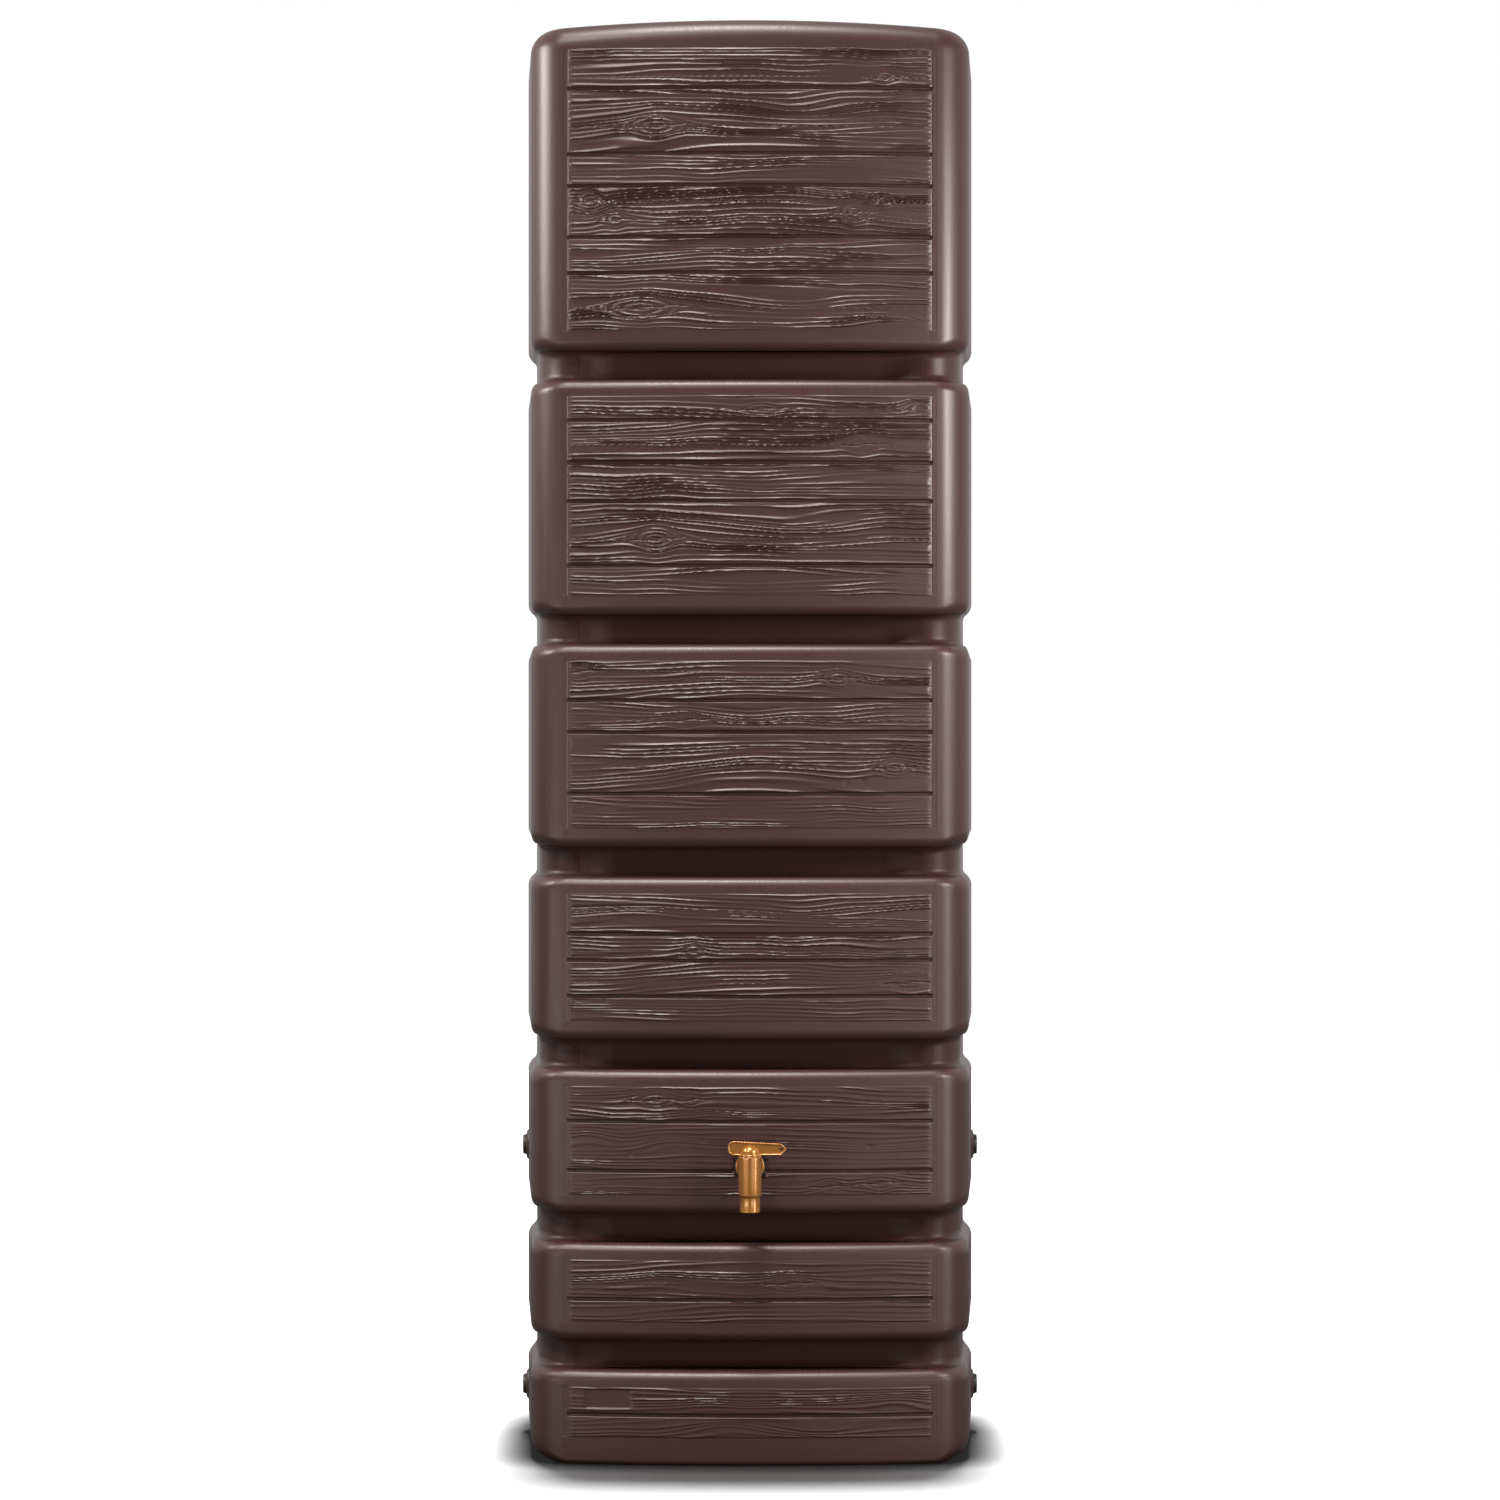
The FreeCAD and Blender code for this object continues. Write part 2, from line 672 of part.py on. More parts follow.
def blade(foot):
    """Flat blade across the valve's axis: a thin web inside a raised rim, with a hole near its tip."""
    body = doc.addObject("PartDesign::Body", "blade")
    place(body, on_barrel(foot))
    pad(body, blade_outline(body, "blade_outline", ""), "blade_pad", "blade_thickness", middle=True)
    for side, near in (("front", -1), ("back", 1)):
        sketch = blade_outline(body, f"blade_web_{side}", "rim_width")
        bind(sketch, "AttachmentOffset.Base.z", f"{-near} * blade_thickness / 2")
        pocket = body.newObject("PartDesign::Pocket", f"blade_pocket_{side}")
        pocket.Profile = sketch
        pocket.Reversed = near > 0
        bind(pocket, "Length", "rim_rise")
    middle = f"{TAP_HEIGHT} + {foot} + blade_tip_height / 2"
    hole = rod("blade_hole", "hole_diameter", "blade_thickness + 2 * overcut",
               ("hole_place", f"{TAP_AXIS} - blade_thickness / 2 - overcut", middle), "Y")
    return cut("drilled_blade", body, [hole])


# Lid

def lid():
    """A push-on cap: a disc with a skirt round the neck."""
    inner = "mouth_diameter + 2 * neck_wall + 2 * lid_gap"
    outer = f"{inner} + 2 * lid_thickness"
    at_foot = ("0", "mouth_offset", f"{NECK_TOP} - lid_skirt + lid_gap")
    blank = rod("lid_blank", outer, "lid_skirt + lid_thickness", at_foot)
    hollow = rod("lid_hollow", inner, "lid_skirt", at_foot)
    soft = softened("Fillet", "lid_rounded", blank, size("lid_rounding"),
                    lambda edge: edge.BoundBox.ZMin > blank.Shape.BoundBox.ZMax - 0.01)
    return cut("lid", soft, [hollow])


pieces = [tank_body()]
for level, height in PORT_HEIGHTS.items():
    for side, sign in SIDES.items():
        pieces += port_pieces(side, sign, level, height)
pieces += tap_inlet()
pieces.append(tap_body())
pieces += valve()
pieces.append(lid())
doc.recompute()

failed = [item.Label for item in doc.Objects if {"Invalid", "Error"} & set(item.State)]
failed += [item.Label for item in pieces if item.Shape.isNull() or not item.Shape.isValid()]
if failed:
    raise SystemExit(f"not built: {failed}")

os.makedirs("parts", exist_ok=True)
for item in pieces:
    item.Shape.exportStep(f"parts/{item.Label}.step")
    print(item.Label, round(item.Shape.Volume), len(item.Shape.Solids))
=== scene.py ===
import math

import bpy
import numpy as np
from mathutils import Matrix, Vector
from mathutils.geometry import tessellate_polygon


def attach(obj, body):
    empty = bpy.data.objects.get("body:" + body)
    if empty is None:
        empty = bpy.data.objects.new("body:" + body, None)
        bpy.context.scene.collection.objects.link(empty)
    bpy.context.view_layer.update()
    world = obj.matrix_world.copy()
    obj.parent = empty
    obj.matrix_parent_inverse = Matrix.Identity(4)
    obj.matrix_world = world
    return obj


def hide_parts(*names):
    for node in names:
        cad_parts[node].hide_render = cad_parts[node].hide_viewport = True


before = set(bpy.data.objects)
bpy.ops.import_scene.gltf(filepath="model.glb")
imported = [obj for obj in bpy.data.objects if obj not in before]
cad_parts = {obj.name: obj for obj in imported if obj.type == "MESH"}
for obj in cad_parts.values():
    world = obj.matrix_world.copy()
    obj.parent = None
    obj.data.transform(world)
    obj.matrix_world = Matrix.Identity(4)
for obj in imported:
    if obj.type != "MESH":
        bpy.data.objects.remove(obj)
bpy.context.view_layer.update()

# Camera
# It looks level at the tank's front from five metres, at half the tank's height,
# with the whole tank in the frame and a little floor below it.

lens = bpy.data.cameras.new("camera")
lens.lens = 96.2
lens.sensor_width = 36.0
camera = bpy.data.objects.new("camera", lens)
bpy.context.scene.collection.objects.link(camera)
camera.location = (0.0, -5.2, 0.894)
camera.rotation_euler = (math.radians(90), 0.0, 0.0)
bpy.context.scene.camera = camera

# Tank shell
# One blow moulding in dark brown polyethylene, with a wall of 5 mm: seven blocks on one
# another, a waist between each pair, a low crown and an open neck on top. Each block's
# front has a shallow pocket that its plank panel fills. Lengths are in millimetres.

mm = 0.001
front_half = 274.0
side_half = 290.5
back_half = 281.0
front_line = -200.0
parting_line = 60.0
back_line = 200.0
bow_radius = 1770.0
block_corner = 50.0
wall = 5.0

waist_side_inset = 11.0
waist_front_line = -162.0
waist_corner = 52.0
straight_bow = 1.0e6
# Recess in each front waist: full deep as far across as its foot, ending at its head
recess_depth = 12.0
recess_foot = 166.0
recess_head = 216.0

# Lowest and highest level of each block. Their numbers run from the top down
top_block = 1
base_block = 7
blocks = {
    7: (0.0, 118.0),
    6: (159.0, 277.0),
    5: (318.0, 494.0),
    4: (535.0, 735.0),
    3: (776.0, 1026.0),
    2: (1067.0, 1357.0),
    1: (1398.0, 1809.0),
}
# Lowest and highest level of each block's plank panel
panels = {
    7: (35.0, 98.0),
    6: (179.0, 257.0),
    5: (338.0, 474.0),
    4: (555.0, 715.0),
    3: (796.0, 1006.0),
    2: (1087.0, 1337.0),
    1: (1418.0, 1771.0),
}
panel_half = 229.0
pocket_depth = 4.4
pocket_draft = 0.3

lip_out = 18.0
lip_in = 10.0
front_lip_out = 13.0
under_sag = 4.0
# How far across the front's own lip and sag reach, and over what width they fade
front_end = 284.0
front_fade = 50.0
top_lip = 28.0
base_lip = 31.0
front_base_lip = 7.0
least_base_lip = 2.0
# How far sideways the surface faces where the base's front lip ends, and over what it fades
lean_end = 0.95
lean_fade = 0.9
# Beside the top panel its upper rows drop, because the arched top's lip starts lower there
side_drop = 6.0
side_drop_reach = 20.0
crown_radius = 3800.0

neck_centre = 15.0
neck_outer = 85.0
neck_top = 1818.0
neck_edge = 1.5
neck_edge_middle = 0.4
# Rows from the top lip to the neck, as shares of the way, and the rounding at the neck's root
neck_shares = (0.2, 0.4, 0.6, 0.75, 0.87, 0.95, 1.0)
neck_root = 3.0
neck_root_start = 0.87

# Columns of points across the front, closer together on the recess's slopes
middle_columns = np.linspace(0.0, 145.0, 9)
slope_columns = np.linspace(155.0, 220.0, 22)
outer_lip_rows = 22
inner_lip_rows = 8


def ease(value):
    """Smooth step: 0 below 0, 1 above 1, and 3v^2 - 2v^3 between."""
    value = np.clip(value, 0.0, 1.0)
    return value * value * (3.0 - 2.0 * value)


def plan_arcs(inset, waist):
    """Lines, centres and angles of one half plan: bowed front, two side lines, flat back.

    The sides meet at the mould's parting line. Each corner's centre lies one radius inside
    the lines that it joins and, at a block's front, one radius inside the bow's circle.
    """
    shift = waist_side_inset if waist else 0.0
    front_y = waist_front_line + inset if waist else front_line + inset
    radius = (waist_corner if waist else block_corner) - inset
    bow = straight_bow if waist else bow_radius - inset
    middle = np.array([0.0, front_y + bow])
    front_x = front_half - shift - inset
    rear = back_line - shift - inset
    start = np.array([front_x, middle[1] - math.sqrt(bow**2 - front_x**2)])
    side = np.array([side_half - shift - inset, parting_line])
    end = np.array([back_half - shift - inset, rear])
    along = (side - start) / np.hypot(*(side - start))
    after = (end - side) / np.hypot(*(end - side))
    outward = np.array([along[1], -along[0]])
    behind = np.array([after[1], -after[0]])
    base = start - radius * outward - middle
    half = base @ along
    reach = -half - math.sqrt(half**2 - base @ base + (bow - radius) ** 2)
    centre = middle + base + reach * along
    part = side - radius * (outward + behind) / (1.0 + outward @ behind)
    corner = side - radius * behind
    corner = corner + after * (rear - radius - corner[1]) / after[1]
    return {
        "bow": bow, "middle": middle, "swing": math.atan2(centre[0], middle[1] - centre[1]),
        "radius": radius, "front_centre": centre, "part_centre": part, "back_centre": corner,
        "lean": math.atan2(outward[1], outward[0]), "turned": math.atan2(behind[1], behind[0]),
        "rear": rear,
    }


def half_plan(inset, waist, shares):
    """Points and outward normals of a half plan, front middle to back middle.

    shares holds, for each stretch in turn, how far along it each column lies, from 0 to 1.
    """
    arcs = plan_arcs(inset, waist)
    points = []
    normals = []

    def arc(centre, radius, first, last, share):
        turn = first + (last - first) * share
        normal = np.stack([np.cos(turn), np.sin(turn)], axis=1)
        points.append(centre + radius * normal)
        normals.append(normal)

    def line(first, last, turn, share):
        normal = np.array([math.cos(turn), math.sin(turn)])
        foot = first + arcs["radius"] * normal
        head = last + arcs["radius"] * normal
        points.append(foot + (head - foot) * share[:, None])
        normals.append(np.broadcast_to(normal, (len(share), 2)))

    down = -math.pi / 2
    first = down + arcs["swing"]
    arc(arcs["middle"], arcs["bow"], down, first, shares["front"])
    arc(arcs["front_centre"], arcs["radius"], first, arcs["lean"], shares["corner"])
    line(arcs["front_centre"], arcs["part_centre"], arcs["lean"], shares["side"])
    arc(arcs["part_centre"], arcs["radius"], arcs["lean"], arcs["turned"], shares["part"])
    line(arcs["part_centre"], arcs["back_centre"], arcs["turned"], shares["rear_side"])
    arc(arcs["back_centre"], arcs["radius"], arcs["turned"], -down, shares["back_corner"])
    across = arcs["back_centre"][0] * (1.0 - shares["back"])
    points.append(np.stack([across, np.full_like(across, arcs["rear"])], axis=1))
    normals.append(np.broadcast_to(np.array([0.0, 1.0]), (len(across), 2)))
    points = np.concatenate(points)
    normals = np.concatenate(normals)
    if waist:
        slope = ease((recess_head - np.abs(points[:, 0])) / (recess_head - recess_foot))
        points[:, 1] += recess_depth * slope * (points[:, 1] < 0)
    return points, normals


def whole_plan(inset, waist, shares):
    """The half plan and its mirror image, as one ring that runs round from the front."""
    points, normals = half_plan(inset, waist, shares)
    flip = np.array([-1.0, 1.0])
    return (np.concatenate([points, points[-2:0:-1] * flip]),
            np.concatenate([normals, normals[-2:0:-1] * flip]))


def column_shares():
    """Where the columns stand: close together at the recess's slopes and the panel's edge."""
    arcs = plan_arcs(0.0, False)
    last = arcs["bow"] * math.sin(arcs["swing"])
    across = np.concatenate([middle_columns, slope_columns, [last]])
    front = np.arcsin(across / arcs["bow"]) / arcs["swing"]
    edge = np.array([panel_half - pocket_draft, panel_half])
    first = -math.pi / 2 + arcs["swing"]
    turn = -np.arccos((edge - arcs["front_centre"][0]) / arcs["radius"])
    corner = (turn - first) / (arcs["lean"] - first)
    corner = np.concatenate([corner, np.linspace(0.09, 0.94, 14)])
    return {
        "front": front,
        "corner": corner,
        "side": np.linspace(0.0, 1.0, 8),
        "part": np.array([0.25, 0.5, 0.75]),
        "rear_side": np.linspace(0.0, 1.0, 5),
        "back_corner": np.linspace(0.08, 0.92, 9),
        "back": np.linspace(0.0, 1.0, 8),
    }


def lip(block_ring, waist_ring, count, outer):
    """Rows from a block's face to the waist: out-curve, level run, in-curve, evenly spaced.

    Both curves turn by acos(1 - inset / both), both being their radii together, and where
    the waist is deeper than that, by a quarter turn with the level run between them.
    Returns the share of the way in and the rise of each row and column.
    """
    inset = np.hypot(*(waist_ring - block_ring).T)
    both = outer + lip_in
    turn = np.arccos(1.0 - np.minimum(inset / both, 1.0))
    run = np.maximum(inset - both, 0.0)
    first = outer * turn
    length = first + run + lip_in * turn
    path = np.linspace(0.0, 1.0, count)[:, None] * length
    bend = np.minimum(path, first) / outer
    left = np.minimum(length - path, lip_in * turn) / lip_in
    level = np.clip(path - first, 0.0, run)
    way = outer * (1.0 - np.cos(bend)) + level + lip_in * (np.cos(left) - np.cos(turn))
    rise = outer * np.sin(bend) + lip_in * (np.sin(turn) - np.sin(left))
    return way / inset, rise


def crown(across):
    """Height of the top, an arch that falls by across^2 / (2 crown_radius) to the sides."""
    return blocks[top_block][1] - across**2 / (2.0 * crown_radius)


def shell_rows(inset, shares, count_lip, pocket):
    """Rows from the base's rim to the top lip's end, each a ring; with or without pockets.

    The edges at the base and the top are quarter circles: r (1 - cos) in from the face and
    r (1 - sin) from the base or the top. At each waist a lip leads in and another out again.
    """
    block_ring, normals = whole_plan(inset, False, shares)
    waist_ring, _ = whole_plan(inset, True, shares)
    across = np.abs(block_ring[:, 0])
    front = block_ring[:, 1] < 0
    in_front = front * ease((front_end - across) / front_fade)
    in_panel = front & (across < panel_half - 0.5 * pocket_draft)
    lip_radius = lip_out + (front_lip_out - lip_out) * in_front
    share, rise = lip(block_ring, waist_ring, count_lip, lip_radius)
    sag = under_sag * in_front
    beside = side_drop * ease((across - panel_half) / side_drop_reach)
    count = len(block_ring)
    rows = []

    def ring(points, level):
        rows.append(np.column_stack([points, np.broadcast_to(level, count)]))

    facing = (normals[:, 1] < 0) * ease((lean_end - np.abs(normals[:, 0])) / lean_fade)
    radius = base_lip + (front_base_lip - base_lip) * facing - inset
    radius = np.maximum(radius, least_base_lip)
    for turn in np.linspace(math.pi / 2, 0.0, count_lip // 2):
        ring(block_ring - normals * (radius * (1.0 - math.cos(turn)))[:, None],
             inset + radius * (1.0 - math.sin(turn)))
    for block, (low, high) in blocks.items():
        if block != base_block:
            for step, up in zip(share[::-1], rise[::-1]):
                ring(block_ring + (waist_ring - block_ring) * step[:, None],
                     low - sag + lip_radius - up)
        low_edge, high_edge = panels[block]
        if pocket:
            floor = block_ring + np.column_stack([np.zeros(count), pocket_depth * in_panel])
            drop = beside if block == top_block else 0.0
            ring(block_ring, low_edge)
            ring(floor, low_edge + pocket_draft)
            for share_up in (0.25, 0.5, 0.75):
                ring(floor, low_edge + share_up * (high_edge - low_edge - drop))
            ring(floor, high_edge - pocket_draft - drop)
            ring(block_ring, high_edge - drop)
        if block != top_block:
            for step, up in zip(share, rise):
                ring(block_ring + (waist_ring - block_ring) * step[:, None],
                     high - lip_radius + up)
    radius = top_lip - inset
    for turn in np.linspace(0.0, math.pi / 2, count_lip // 2):
        points = block_ring - normals * radius * (1.0 - math.cos(turn))
        ring(points, crown(points[:, 0]) - inset - radius * (1.0 - math.sin(turn)))
    return rows


def neck_rows(ring, inset):
    """Rows from the top lip to the neck's rim, straight towards the neck's circle.

    Each row lies a share of the way to centre + radius * direction, on the arch of the top.
    """
    outward = ring[:, :2] - [0.0, neck_centre]
    outward /= np.hypot(*outward.T)[:, None]
    radius = neck_outer - inset
    circle = np.array([0.0, neck_centre]) + outward * radius
    rows = []
    for share in neck_shares:
        points = ring[:, :2] + (circle - ring[:, :2]) * share
        root = neck_root * ease((share - neck_root_start) / (1.0 - neck_root_start))
        rows.append(np.column_stack([points, crown(points[:, 0]) - inset + root]))
    away = 1.0 if inset == 0 else -1.0
    for down, draw in ((neck_edge, 0.0), (neck_edge_middle, neck_edge_middle), (0.0, neck_edge)):
        points = circle - outward * draw * away
        rows.append(np.column_stack([points, np.full(len(points), neck_top - down)]))
    return rows


def grid_faces(rows, columns, closed):
    """Four-sided faces between rows. A closed grid joins its last column to its first."""
    last = columns if closed else columns - 1
    row, column = np.meshgrid(np.arange(rows - 1), np.arange(last), indexing="ij")
    beside = (column + 1) % columns
    corners = [row * columns + column, row * columns + beside,
               (row + 1) * columns + beside, (row + 1) * columns + column]
    return np.stack(corners, axis=-1).reshape(-1, 4)


def make_piece(name, points, faces, crease=40.0):
    """A mesh from points in millimetres and faces, smooth but for edges past the crease angle."""
    mesh = bpy.data.meshes.new(name)
    mesh.from_pydata(np.asarray(points) * mm, [], faces)
    mesh.update()
    mesh.shade_smooth()
    mesh.set_sharp_from_angle(angle=math.radians(crease))
    piece = bpy.data.objects.new(name, mesh)
    bpy.context.scene.collection.objects.link(piece)
    return piece


def shell_mesh():
    """Outer rows, then inner rows back down, closed by a fan under and inside the base."""
    shares = column_shares()
    outer = shell_rows(0.0, shares, outer_lip_rows, True)
    outer += neck_rows(outer[-1], 0.0)
    inner = shell_rows(wall, shares, inner_lip_rows, False)
    inner += neck_rows(inner[-1], wall)
    rows = outer + inner[::-1]
    count = len(rows[0])
    points = np.concatenate(rows + [[[0.0, 0.0, 0.0], [0.0, 0.0, wall]]])
    faces = grid_faces(len(rows), count, True).tolist()
    pole = np.full(count, len(rows) * count)
    last_row = (len(rows) - 1) * count
    column = np.arange(count)
    beside = (column + 1) % count
    under = np.stack([pole, beside, column], axis=1)
    inside = np.stack([pole + 1, last_row + column, last_row + beside], axis=1)
    faces += np.stack([under, inside], axis=1).reshape(-1, 3).tolist()
    return points, faces


def feed(tree, node, inputs):
    """Gives a node's inputs their values, or the outputs that feed them."""
    for key, value in inputs.items():
        if isinstance(value, bpy.types.NodeSocket):
            tree.links.new(value, node.inputs[key])
        else:
            node.inputs[key].default_value = value


def node_of(tree, kind, inputs, **settings):
    """A new shader node with its inputs and settings."""
    node = tree.nodes.new(kind)
    for name, value in settings.items():
        setattr(node, name, value)
    feed(tree, node, inputs)
    return node


def noise(tree, place, scale, detail, roughness):
    """Cloudy noise from 0 to 1 at a place."""
    inputs = {"Vector": place, "Scale": scale, "Detail": detail, "Roughness": roughness}
    return node_of(tree, "ShaderNodeTexNoise", inputs).outputs["Fac"]


def tones(tree, share, dark, light, start=0.0, end=1.0):
    """Colour that runs from dark to light while the share runs from start to end."""
    ramp = node_of(tree, "ShaderNodeValToRGB", {"Fac": share})
    for element, position, tone in zip(ramp.color_ramp.elements, (start, end), (dark, light)):
        element.position = position
        element.color = (*tone, 1.0)
    return ramp.outputs["Color"]


def ranged(tree, value, low, high, first=0.0, last=1.0, easing="LINEAR"):
    """Runs from low to high while the value runs from first to last."""
    inputs = {"Value": value, "From Min": first, "From Max": last, "To Min": low, "To Max": high}
    ranging = node_of(tree, "ShaderNodeMapRange", inputs, interpolation_type=easing)
    return ranging.outputs["Result"]


def worked_out(tree, operation, *values):
    """Result of a math node for one or two values."""
    inputs = dict(enumerate(values))
    return node_of(tree, "ShaderNodeMath", inputs, operation=operation).outputs["Value"]


def bumped(tree, height, strength, distance, **under):
    """Surface direction bent by a height, over another bump if one lies under it."""
    inputs = {"Height": height, "Strength": strength, "Distance": distance, **under}
    return node_of(tree, "ShaderNodeBump", inputs).outputs["Normal"]


def new_finish(name):
    """An empty node material with its tree, its principled shader and its object coordinates."""
    material = bpy.data.materials.new(name)
    material.use_nodes = True
    tree = material.node_tree
    place = node_of(tree, "ShaderNodeTexCoord", {}).outputs["Object"]
    return material, tree, tree.nodes["Principled BSDF"], place


dark_brown = (0.053, 0.0212, 0.0182)
light_brown = (0.059, 0.0243, 0.0210)
# Streaks per metre along x, y and z: level along the planks, upright on the shell
level_streaks = (8.0, 60.0, 400.0)
upright_streaks = (300.0, 300.0, 5.0)
# The front waists shine less, as painted shade that darkens them: where that begins and is full,
# across and inwards, and where it stops behind, in metres; and how much the plastic shines
# outside and inside them
waist_shade_across = (0.262, 0.225)
waist_shade_inwards = (-0.186, -0.165)
waist_shade_behind = -0.12
bright_shine = 0.72
waist_shade_shine = 0.16


def waist_shade_mask(tree, place):
    """1 in the front's waists and 0 elsewhere, with eased ends and edges: where painted shade
    lowers the shine.
    """
    sides = node_of(tree, "ShaderNodeSeparateXYZ", {"Vector": place})
    across = worked_out(tree, "ABSOLUTE", sides.outputs["X"])
    within = ranged(tree, across, 0.0, 1.0, *waist_shade_across, "SMOOTHSTEP")
    inward = ranged(tree, sides.outputs["Y"], 0.0, 1.0, *waist_shade_inwards, "SMOOTHSTEP")
    ahead = worked_out(tree, "LESS_THAN", sides.outputs["Y"], waist_shade_behind)
    both = worked_out(tree, "MULTIPLY", within, inward)
    return worked_out(tree, "MULTIPLY", both, ahead)


def brown_polyethylene(name, along_x):
    """Satin dark brown plastic: cloudy tone, drawn streaks in its gloss, and a fine skin.

    The streaks run level, along x, or upright. The front's waists shine less, as painted shade.
    """
    material, tree, shader, place = new_finish(name)
    stretch = {"Vector": place, "Scale": level_streaks if along_x else upright_streaks}
    stretched = node_of(tree, "ShaderNodeMapping", stretch).outputs["Vector"]
    streaks = noise(tree, stretched, scale=1.0, detail=4.0, roughness=0.6)
    clouds = noise(tree, place, scale=6.0, detail=3.0, roughness=0.5)
    grain = noise(tree, place, scale=900.0, detail=2.0, roughness=0.5)
    skin = bumped(tree, grain, strength=0.12, distance=0.0002)
    drawn = 0.18 if along_x else 0.24
    feed(tree, shader, {
        "Base Color": tones(tree, clouds, dark_brown, light_brown, start=0.3, end=0.7),
        "Specular Tint": (1.0, 0.92, 0.91, 1.0),
        # Painted shade: the shine drops in the front waists so that they render darker
        "Specular IOR Level": ranged(tree, waist_shade_mask(tree, place), bright_shine, waist_shade_shine),
        "Roughness": ranged(tree, streaks, low=0.30, high=0.50),
        "Normal": bumped(tree, streaks, strength=drawn, distance=0.0003, Normal=skin),
    })
    return material


shell = make_piece("tank_shell", *shell_mesh())
shell_plastic = brown_polyethylene("shell_plastic", False)
shell.data.materials.append(shell_plastic)
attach(shell, "tank")
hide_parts("tank_body")

# Plank panels
# Each block's front carries a panel of level planks, pressed into the same plastic by a
# brushed-wood mould: raised growth lines, knots that the lines bend round, a groove between
# planks, and a narrow gap at the panel's sides. The lowest panel has a bare pressed plate.

# How far the planks stand proud of the block's face; the grooves' depth behind it and their
# half widths at floor and edge; how wide the relief eases in above and below, and at the
# sides; and the drop and half width of the gap at each side
plank_rise = 0.5
groove_drop = 2.9
groove_floor = 1.0
groove_edge = 2.9
rim_width = 2.0
side_rim = 4.5
side_gap_drop = 0.6
side_gap_half = 1.0
back_columns = 12

# Ridges: height, sharpness, and the crowding past which they lie lower
ridge_height = 3.1
ridge_power = 2.6
crowding_limit = 1.4
# Share of the relief that is left where the plank is most worn
worn_share = 0.35
# Drifts of the grain: lowest and highest value, size of a cell across and up, shift in cells
drifts = {
    "bend": (-4.5, 4.5, 190.0, 60.0, 3.0),
    "ripple": (-2.0, 2.0, 55.0, 26.0, 0.0),
    "spacing": (0.0, 2.4, 240.0, 12.0, 0.0),
    "height": (0.1, 1.25, 110.0, 6.0, 0.0),
    "fibre": (-0.2, 0.2, 22.0, 1.9, 0.0),
    "wear": (-0.3, 1.9, 70.0, 14.0, 0.0),
}
cells = 64

# Knots that lift the lines this far have an eye with rings; its size as shares of the knot's
ringed_lift = 14.0
ringed_share = 0.35
eye_width = 0.6
eye_height = 0.75
ring_pitch = 4.4
# How far the parting reaches, how sharp the eye's edge is, and how much calmer its inside
eye_reach = 2.2
eye_edge = 3.0
least_eye = 0.5
eye_calm = 0.1
# Split through an eye: slope, height and length of its waves, half width and depth
split_slope = 0.06
split_wave = 0.8
split_wavelength = 5.0
split_half = 0.8
split_depth = 1.0

# Seams between the planks, from the top down
seams = {
    1: [1721.0, 1639.0, 1599.0, 1535.0, 1490.0],
    2: [1306.0, 1253.0, 1205.0, 1124.0],
    3: [956.0, 916.0, 839.0],
    4: [664.0, 631.0, 586.0],
    5: [430.0, 368.0],
    6: [207.5],
    7: [63.1],
}
# Spacing of the growth lines and strength of the relief on each plank, from the top down
figures = {
    1: [(6.0, 0.9), (6.4, 1.0), (5.2, 0.6), (5.6, 1.0), (5.0, 0.7), (6.0, 0.9)],
    2: [(5.4, 0.9), (5.2, 1.0), (5.0, 0.8), (6.2, 1.0), (5.4, 0.6)],
    3: [(5.6, 0.75), (5.0, 0.55), (6.8, 0.75), (5.0, 0.35)],
    4: [(5.6, 0.55), (5.4, 0.65), (6.0, 0.6), (5.0, 0.35)],
    5: [(5.8, 0.5), (5.6, 0.3), (5.2, 0.4)],
    6: [(5.6, 0.45), (5.2, 0.3)],
    7: [(5.4, 0.35), (6.0, 0.3)],
}
# A plank's lines are bent by the knots on it and by those this close to it
knot_margin = 4.0
# Knots: place across and up, how far the lines lift, and the knot's reach across and up
knots = {
    1: [
        (168, 1734, 18, 30, 11), (-118, 1673, 24, 60, 17), (60, 1690, -10, 70, 15),
        (-200, 1580, -26, 26, 15), (-168, 1556, 16, 26, 12), (131, 1565, 24, 34, 15),
        (165, 1578, -14, 22, 10), (-137, 1446, 30, 80, 18), (-133, 1437, 16, 16, 8),
        (60, 1452, -10, 60, 14), (100, 1620, 6, 80, 12),
    ],
    2: [
        (14, 1319, -14, 40, 9), (212, 1326, 12, 20, 9), (140, 1275, 24, 40, 14),
        (-118, 1157, 30, 50, 19), (60, 1170, -9, 90, 18), (-60, 1222, 6, 60, 12),
    ],
    3: [
        (-212, 992, 16, 24, 10), (110, 983, 26, 34, 13), (-81, 931, 22, 44, 12),
        (181, 872, 24, 34, 12), (20, 870, 8, 120, 18), (-120, 884, -7, 80, 14),
    ],
    4: [
        (-71, 643, 18, 22, 10), (200, 603, 22, 50, 13), (-150, 690, 7, 60, 13),
        (80, 695, -7, 70, 12),
    ],
    5: [
        (-118, 457, 20, 40, 11), (-74, 457, -16, 20, 9), (-203, 411, 9, 30, 12),
        (-100, 400, 9, 36, 12), (150, 400, -5, 70, 14), (100, 349, 18, 22, 10),
        (162, 353, 20, 34, 11),
    ],
    6: [(50, 228, 16, 44, 12), (-120, 232, 6, 80, 14)],
    7: [(190, 80, 12, 60, 12), (-40, 50, 8, 50, 9), (90, 46, -8, 50, 9)],
}
pinholes = {
    3: [(121, 852), (140, 856)],
    5: [(150, 399), (-60, 407), (-150, 389)],
}
pinhole_depth = 1.2
pinhole_radius = 2.2
# Bare plate: its block, then middle across and up, half width and half height
plate_block = 7
plate = (-177.0, 83.4, 29.0, 11.6)
plate_corner = 3.0
plate_edge = 1.4
plate_drop = 0.9
